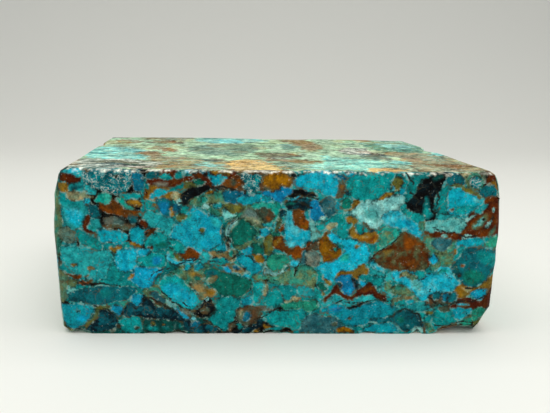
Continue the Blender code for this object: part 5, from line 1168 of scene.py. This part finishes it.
class Net:
    """One material's node tree, and the ways to add to it."""

    def __init__(self, material: bpy.types.Material) -> None:
        """Start from the material's own Principled shader."""
        self.tree = material.node_tree
        self.shader = self.tree.nodes["Principled BSDF"]

    def node(self, kind: str, settings: dict[str, object] | None = None,
             sockets: dict[str | int, object] | None = None) -> bpy.types.Node:
        """Add a node.

        Args:
            kind: The node's type.
            settings: Its own properties, set first.
            sockets: Values or wires for its inputs, by name or number.

        Returns:
            The node.
        """
        made = self.tree.nodes.new(kind)
        for name, value in (settings or {}).items():
            setattr(made, name, value)
        for name, value in (sockets or {}).items():
            self.feed(made.inputs[name], value)
        return made

    def feed(self, socket: bpy.types.NodeSocket, value: object) -> None:
        """Link a wire to an input, or set the input's own value."""
        if isinstance(value, Wire):
            self.tree.links.new(value.socket, socket)
        else:
            socket.default_value = value

    def wire(self, node: bpy.types.Node, output: str | int = 0) -> Wire:
        """One of a node's outputs as a value."""
        return Wire(self, node.outputs[output])

    def maths(self, operation: str, a: "Wire | float", b: "Wire | float") -> Wire:
        """A Math node on two values."""
        return self.wire(self.node("ShaderNodeMath", {"operation": operation}, {0: a, 1: b}))

    def stored(self, name: str, output: str = "Fac") -> Wire:
        """One of the mesh's own attributes."""
        return self.wire(self.node("ShaderNodeAttribute", {"attribute_name": name}), output)

    def band(self, value: Wire, start: Wire | float, end: Wire | float) -> Wire:
        """How far a value has come from start to end, smoothly and held between 0 and 1."""
        return self.wire(self.node("ShaderNodeMapRange", {"interpolation_type": "SMOOTHSTEP"},
                                   {"Value": value, "From Min": start, "From Max": end}))

    def grain(self, scale: float, detail: float, rough: float, place: Wire) -> Wire:
        """Fine noise of a given scale, per metre."""
        return self.wire(self.node("ShaderNodeTexNoise", {},
                                   {"Vector": place, "Scale": scale, "Detail": detail, "Roughness": rough}))

    def web(self, scale: float, place: Wire) -> Wire:
        """Distance to the lines of an irregular web."""
        return self.wire(self.node("ShaderNodeTexVoronoi", {"feature": "DISTANCE_TO_EDGE"},
                                   {"Vector": place, "Scale": scale}))

    def bent(self, place: Wire, scale: float, amount: float) -> Wire:
        """A place pushed about by noise of a given scale, by up to half an amount in metres."""
        noisy = self.node("ShaderNodeTexNoise", {}, {"Vector": place, "Scale": scale, "Detail": 3.0})
        centred = self.vector("SUBTRACT", self.wire(noisy, "Color"), (0.5, 0.5, 0.5))
        return self.vector("ADD", place, self.scaled(centred, amount))

    def vector(self, operation: str, a: object, b: object) -> Wire:
        """A Vector Math node on two vectors or colours."""
        return self.wire(self.node("ShaderNodeVectorMath", {"operation": operation}, {0: a, 1: b}))

    def scaled(self, a: Wire, amount: Wire | float) -> Wire:
        """A vector or colour times a number."""
        return self.wire(self.node("ShaderNodeVectorMath", {"operation": "SCALE"}, {0: a, "Scale": amount}))

    def blend(self, share: Wire | float, a: object, b: object) -> Wire:
        """Mix two colours."""
        mix = self.node("ShaderNodeMix", {"data_type": "RGBA"}, {0: share, 6: a, 7: b})
        return self.wire(mix, 2)


@dataclass(frozen=True)
class Grains:
    """The noises and stored values that the stone's colour is mixed from."""

    place: Wire
    loose: Wire
    dry: Wire
    fine: Wire
    cloudy: Wire
    patchy: Wire
    broad: Wire
    streak: Wire

    def swing(self, grain: Wire, wet: float, dry: float) -> Wire:
        """How much a noise adds or takes, with a strength for every face and one more for dry ones."""
        return (grain - 0.5) * (wet + self.dry * dry)


@dataclass(frozen=True)
class Lines:
    """How far each kind of line covers the stone."""

    vein: Wire
    pale: Wire
    web: Wire
    lace: Wire
    crack: Wire


@dataclass(frozen=True)
class StoneFinish:
    """Ground turquoise: mottled stones, veins between them, a fine web, flecks, cracks and a soft shine.

    Colours are linear, widths and wanders in metres and scales per metre, but for a web's width and wander,
    which are shares of its mesh. A share is how far something covers the stone.
    """

    dark_vein: Colour = (0.012, 0.014, 0.010, 1.0)
    brown_vein: Colour = (0.130, 0.088, 0.030, 1.0)
    pale_vein: Colour = (0.320, 0.490, 0.410, 1.0)
    pale_fleck_and_glint: Colour = (0.700, 0.720, 0.600, 1.0)
    vein_width: float = 0.00045
    vein_wander: float = 0.0010
    rim_width: float = 0.0012
    crack_core: float = 0.00018
    crack_width: float = 0.00050
    crack_wander: float = 0.0006
    web_scale: float = 330.0
    web_width: float = 0.06
    lace_scale: float = 700.0
    lace_width: float = 0.08
    web_wander: float = 0.12
    web_share: float = 0.40
    dark_share: float = 0.7
    pale_share: float = 0.50
    lace_share: float = 0.7
    crack_share: float = 0.95
    streak_share: float = 0.55
    # Flecks: pale specks of the stone, and on the dry faces painted glints as well.
    fleck_and_glint_scale: float = 1200.0
    fleck_and_glint_share: tuple[float, float] = (0.24, 0.52)
    light: float = 0.83
    rim_light: float = 0.24
    # How much lighter the dry faces are, partly for their dust and partly as painted sheen.
    dry_dust_and_sheen: float = 0.20
    least_light: float = 0.12
    shine: float = 0.05
    shine_rough: float = 0.28
    dry_rough: float = 0.36
    grain_rough: float = 0.35
    bump: float = 0.4
    relief: float = 0.0005
    grain_depth: float = 0.5
    line_depths: tuple[float, float, float] = (0.6, 0.3, 1.5)

    def make(self) -> bpy.types.Material:
        """Build the material.

        Returns:
            The material.
        """
        material = bpy.data.materials.new("ground_turquoise")
        material.use_nodes = True
        net = Net(material)
        grains = self.grains(net)
        lines = self.lines(net, grains)
        inputs = net.shader.inputs
        net.feed(inputs["Base Color"], self.veined(net, grains, lines, self.mottled(net, grains)))
        net.feed(inputs["Specular IOR Level"], self.shine)
        rough = self.shine_rough + grains.dry * self.dry_rough + (grains.fine - 0.5) * self.grain_rough
        net.feed(inputs["Roughness"], rough)
        height = (grains.fine + grains.patchy) * (self.grain_depth + grains.dry)
        for line, depth in zip((lines.vein, lines.web, lines.crack), self.line_depths):
            height = height - line * depth
        relief = {"Strength": self.bump, "Distance": self.relief, "Height": height}
        net.feed(inputs["Normal"], net.wire(net.node("ShaderNodeBump", {}, relief)))
        return material

    def grains(self, net: Net) -> Grains:
        """Add the noises, from fine grain to broad clouds, and the streaks along the dry faces."""
        place = net.wire(net.node("ShaderNodeTexCoord"), "Object")
        loose = net.bent(place, 420.0, 0.0024)
        stretched = net.vector("MULTIPLY", loose, (0.22, 1.0, 1.0))
        return Grains(place=place, loose=loose, dry=net.stored("dry"),
                      fine=net.grain(1500.0, 4.0, 0.65, place), cloudy=net.grain(270.0, 5.0, 0.62, loose),
                      patchy=net.grain(420.0, 3.0, 0.6, place), broad=net.grain(130.0, 3.0, 0.6, place),
                      streak=net.grain(700.0, 3.0, 0.65, stretched))

    def mottled(self, net: Net, grains: Grains) -> Wire:
        """The stone's two colours in clouds, lighter and darker with the grain and darker at its rim."""
        clouds = grains.cloudy + grains.swing(grains.streak, 0.0, 1.3)
        share = net.band(clouds, 0.42, 0.60) * net.stored("mottle")
        colour = net.blend(share, net.stored("stone", "Color"), net.stored("other", "Color"))
        inner = net.band(net.stored("border"), 0.0, self.rim_width)
        # Dry faces are lighter, partly for their dust and partly as painted sheen.
        bright = self.light + self.rim_light * inner + self.dry_dust_and_sheen * grains.dry
        bright = bright + grains.swing(grains.fine, 1.6, 0.8) + grains.swing(grains.patchy, 2.1, 0.6)
        bright = bright + grains.swing(grains.broad, 0.9, 2.0) + grains.swing(grains.streak, 0.0, 3.2)
        return net.scaled(colour, net.maths("MAXIMUM", bright, self.least_light))

    def line(self, net: Net, gap: Wire, fine: Wire, wander: float, start: float, end: float) -> Wire:
        """Cover what is near a line, whole up to start and nothing past end, with a wandering edge."""
        return 1.0 - net.band(gap + (fine - 0.5) * wander, start, end)

    def lines(self, net: Net, grains: Grains) -> Lines:
        """Add the veins, the web, the lace and the cracks, each broken up by a broader noise."""
        fine, patchy = grains.fine, grains.patchy
        vein = self.line(net, net.stored("border"), fine, self.vein_wander, 0.0, self.vein_width)
        meshes = net.web(self.web_scale, grains.loose)
        web = self.line(net, meshes, fine, self.web_wander, 0.0, self.web_width)
        meshes = net.web(self.lace_scale, net.bent(grains.place, 300.0, 0.006))
        lace = self.line(net, meshes, fine, self.web_wander, 0.0, self.lace_width)
        split = net.stored("crack")
        crack = self.line(net, split, fine, self.crack_wander, self.crack_core, self.crack_width)
        return Lines(vein=vein * net.band(patchy, 0.56, 0.42) * self.dark_share,
                     pale=vein * net.band(patchy, 0.50, 0.62),
                     web=web * net.band(grains.cloudy, 0.45, 0.55),
                     lace=lace * net.stored("lace") * net.band(patchy, 0.40, 0.50),
                     crack=crack * net.band(patchy, 0.42, 0.50))

    def veined(self, net: Net, grains: Grains, lines: Lines, colour: Wire) -> Wire:
        """Lay the lines, the flecks and the painted glints of the dry faces over a colour.

        Args:
            net: The material's node tree.
            grains: Its noises.
            lines: Its lines.
            colour: The colour under them.

        Returns:
            The whole colour.
        """
        veins = net.blend(net.band(grains.broad, 0.46, 0.56), self.dark_vein, self.brown_vein)
        # Pale flecks; the extra ones on the dry faces are painted glints.
        speck = net.grain(self.fleck_and_glint_scale, 2.0, 0.5, grains.place)
        fleck_and_glint = net.band(speck, 0.64 - grains.dry * 0.08, 0.72 - grains.dry * 0.08)
        fleck_and_glint = fleck_and_glint * net.band(grains.patchy, 0.46, 0.58)
        wet_fleck, dry_glint = self.fleck_and_glint_share
        streak = net.band(grains.streak, 0.42, 0.33) * grains.dry
        for share, over in ((lines.web * self.web_share, veins), (lines.vein, veins),
                            (lines.pale * self.pale_share, self.pale_vein),
                            (lines.lace * self.lace_share, self.pale_fleck_and_glint),
                            (fleck_and_glint * (wet_fleck + grains.dry * dry_glint), self.pale_fleck_and_glint),
                            (streak * self.streak_share, veins),
                            (lines.crack * self.crack_share, self.dark_vein)):
            colour = net.blend(share, colour, over)
        return colour


@dataclass(frozen=True)
class TurquoiseBlock:
    """The whole block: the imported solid's own surface, drawn finer, chipped, and coloured stone by stone.

    Lengths are in metres. The steps are the distances between points on each side.
    """

    step_front: float = 0.00052
    step_top: float = 0.0011
    step_side: float = 0.0019
    step_base: float = 0.0045
    split_over: float = 1.35
    passes: int = 5
    chip: float = 0.00045
    chip_sizes: tuple[float, float] = (0.0035, 0.0012)
    crease: float = 40.0

    def build(self) -> bpy.types.Object:
        """Make the piece and ride it on the block's body.

        Returns:
            The piece.
        """
        mesh = self.surface()
        points, normals = (self.vectors(mesh, name) for name in ("co", "normal"))
        paint = StoneMap().paint(points, normals)
        for name in ("stone", "other"):
            colours = paint[name].astype(np.float32).ravel()
            mesh.attributes.new(name, "FLOAT_COLOR", "POINT").data.foreach_set("color", colours)
        for name in ("border", "mottle", "lace", "dry", "crack"):
            values = paint[name].astype(np.float32)
            mesh.attributes.new(name, "FLOAT", "POINT").data.foreach_set("value", values)
        sunk = points - normals * (paint["pit"][:, None] * MM + self.chips(mesh, points)[:, None])
        sunk = np.clip(sunk, points.min(0), points.max(0))
        mesh.vertices.foreach_set("co", sunk.astype(np.float32).ravel())
        mesh.update()
        piece = bpy.data.objects.new("turquoise_stone", mesh)
        bpy.context.scene.collection.objects.link(piece)
        mesh.materials.append(StoneFinish().make())
        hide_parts(NODE)
        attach(piece, BODY)
        return piece

    def vectors(self, mesh: bpy.types.Mesh, name: str) -> np.ndarray:
        """One kind of vector of all the mesh's points, one per row."""
        found = np.empty(len(mesh.vertices) * 3, np.float32)
        mesh.vertices.foreach_get(name, found)
        return found.reshape(-1, 3)

    def chips(self, mesh: bpy.types.Mesh, points: np.ndarray) -> np.ndarray:
        """How deep each point on a sharp edge is worn, in metres."""
        flags = np.zeros(len(mesh.edges), bool)
        mesh.attributes["sharp_edge"].data.foreach_get("value", flags)
        ends = np.empty(len(mesh.edges) * 2, np.int32)
        mesh.edges.foreach_get("vertices", ends)
        coarse, fine = self.chip_sizes
        deep = np.zeros(len(points))
        for row in np.unique(ends.reshape(-1, 2)[flags]):
            at = Vector(points[row])
            rough = 0.5 + 0.9 * noise.noise(at / coarse) + 0.6 * noise.noise(at / fine)
            deep[row] = self.chip * min(1.0, max(0.05, rough))
        return deep

    def step(self, normal: Vector) -> float:
        """The distance between points on a face that looks a given way."""
        if normal.y < -SQUARELY:
            return self.step_front
        if normal.z > SQUARELY:
            return self.step_top
        if normal.z < -STRAIGHT:
            return self.step_base
        return self.step_side

    def surface(self) -> bpy.types.Mesh:
        """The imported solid's surface with its long edges split.

        Returns:
            The mesh.
        """
        bm = bmesh.new()
        bm.from_mesh(frame["nodes"][NODE].data)
        bmesh.ops.remove_doubles(bm, verts=bm.verts, dist=1e-6)
        for _ in range(self.passes):
            bm.normal_update()
            edges = []
            for edge in bm.edges:
                step = min((self.step(face.normal) for face in edge.link_faces), default=1.0)
                if edge.calc_length() > self.split_over * step:
                    edges.append(edge)
            if not edges:
                break
            bmesh.ops.subdivide_edges(bm, edges=edges, cuts=1, use_grid_fill=True)
            bmesh.ops.triangulate(bm, faces=[face for face in bm.faces if len(face.verts) > 3])
        for face in bm.faces:
            face.smooth = True
        mesh = bpy.data.meshes.new("turquoise_stone")
        bm.to_mesh(mesh)
        bm.free()
        mesh.set_sharp_from_angle(angle=math.radians(self.crease))
        return mesh


@dataclass(frozen=True)
class Lamp:
    """A soft rectangular light: its name, place and size in metres, and power in watts."""

    name: str
    place: Triple
    size: tuple[float, float]
    power: float

    def hang(self, target: Triple) -> None:
        """Add the light, turned to look at a place."""
        data = bpy.data.lights.new(self.name, "AREA")
        data.shape = "RECTANGLE"
        data.size, data.size_y = self.size
        data.energy = self.power
        lamp = bpy.data.objects.new(self.name, data)
        lamp.location = self.place
        lamp.rotation_euler = (Vector(target) - Vector(self.place)).to_track_quat("-Z", "Y").to_euler()
        bpy.context.scene.collection.objects.link(lamp)


@dataclass(frozen=True)
class Studio:
    """A pale floor that rises into a backdrop, soft lights and the camera.

    Lengths are in metres and angles in degrees, but for the lens and sensor, in millimetres.
    """

    eye: Triple = (-0.0060, -0.2588, 0.0897)
    pitch: float = 11.97
    yaw: float = 1.95
    roll: float = 0.86
    lens: float = 39.27
    sensor: float = 36.0
    lamps: tuple[Lamp, ...] = (Lamp("key", (0.0, -0.04, 0.80), (1.7, 0.7), 7.7),
                               Lamp("fill", (0.15, -0.8, 0.55), (0.8, 0.8), 2.7))
    target: Triple = (0.0, 0.0, 0.03)
    sky_colour: Colour = (0.97, 0.98, 1.0, 1.0)
    sky_power: float = 0.37
    floor_colour: Colour = (0.82, 0.82, 0.76, 1.0)
    floor_rough: float = 0.6
    floor_front: float = -2.5
    floor_back: float = 0.48
    bend: float = 0.75
    bend_parts: int = 16
    half_width: float = 3.0
    top: float = 3.0

    def build(self) -> None:
        """Make the floor, the lights and the camera."""
        self.floor()
        for lamp in self.lamps:
            lamp.hang(self.target)
        self.camera()
        world = bpy.data.worlds.new("studio")
        bpy.context.scene.world = world
        world.use_nodes = True
        sky = world.node_tree.nodes["Background"]
        sky.inputs["Color"].default_value = self.sky_colour
        sky.inputs["Strength"].default_value = self.sky_power
        bpy.context.scene.view_settings.view_transform = "Standard"

    def floor(self) -> None:
        """The floor and backdrop, one curved sheet."""
        bm = bmesh.new()
        line = [(self.floor_front, 0.0), (self.floor_back, 0.0)]
        for n in range(1, self.bend_parts + 1):
            turn = math.radians(90.0 * n / self.bend_parts)
            line.append((self.floor_back + self.bend * math.sin(turn), self.bend * (1.0 - math.cos(turn))))
        line.append((self.floor_back + self.bend, self.top))
        rows = [[bm.verts.new((x, y, z)) for x in (-self.half_width, self.half_width)] for y, z in line]
        for a, b in zip(rows, rows[1:]):
            bm.faces.new([a[0], a[1], b[1], b[0]]).smooth = True
        mesh = bpy.data.meshes.new("floor")
        bm.to_mesh(mesh)
        bm.free()
        floor = bpy.data.objects.new("floor", mesh)
        bpy.context.scene.collection.objects.link(floor)
        material = bpy.data.materials.new("floor")
        material.use_nodes = True
        shader = material.node_tree.nodes["Principled BSDF"]
        shader.inputs["Base Color"].default_value = self.floor_colour
        shader.inputs["Roughness"].default_value = self.floor_rough
        mesh.materials.append(material)

    def camera(self) -> None:
        """The camera where the photograph was taken from."""
        pitch, yaw, roll = (math.radians(a) for a in (self.pitch, self.yaw, self.roll))
        ahead = Vector((math.sin(yaw) * math.cos(pitch), math.cos(yaw) * math.cos(pitch), -math.sin(pitch)))
        right = Vector((math.cos(yaw), -math.sin(yaw), 0.0))
        up = right.cross(ahead)
        across = right * math.cos(roll) + up * math.sin(roll)
        above = up * math.cos(roll) - right * math.sin(roll)
        turn = Matrix((across, above, -ahead)).transposed().to_4x4()
        data = bpy.data.cameras.new("camera")
        data.lens = self.lens
        data.sensor_width = self.sensor
        data.clip_start = 0.01
        camera = bpy.data.objects.new("camera", data)
        camera.matrix_world = Matrix.Translation(Vector(self.eye)) @ turn
        bpy.context.scene.collection.objects.link(camera)
        bpy.context.scene.camera = camera


def main() -> None:
    """Build the block and the studio, and log the block's number of faces."""
    logging.basicConfig(level=logging.INFO, format="%(message)s")
    piece = TurquoiseBlock().build()
    LOG.info("%s: %d faces", piece.name, len(piece.data.polygons))
    Studio().build()
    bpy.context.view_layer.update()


if __name__ == "__main__":
    main()
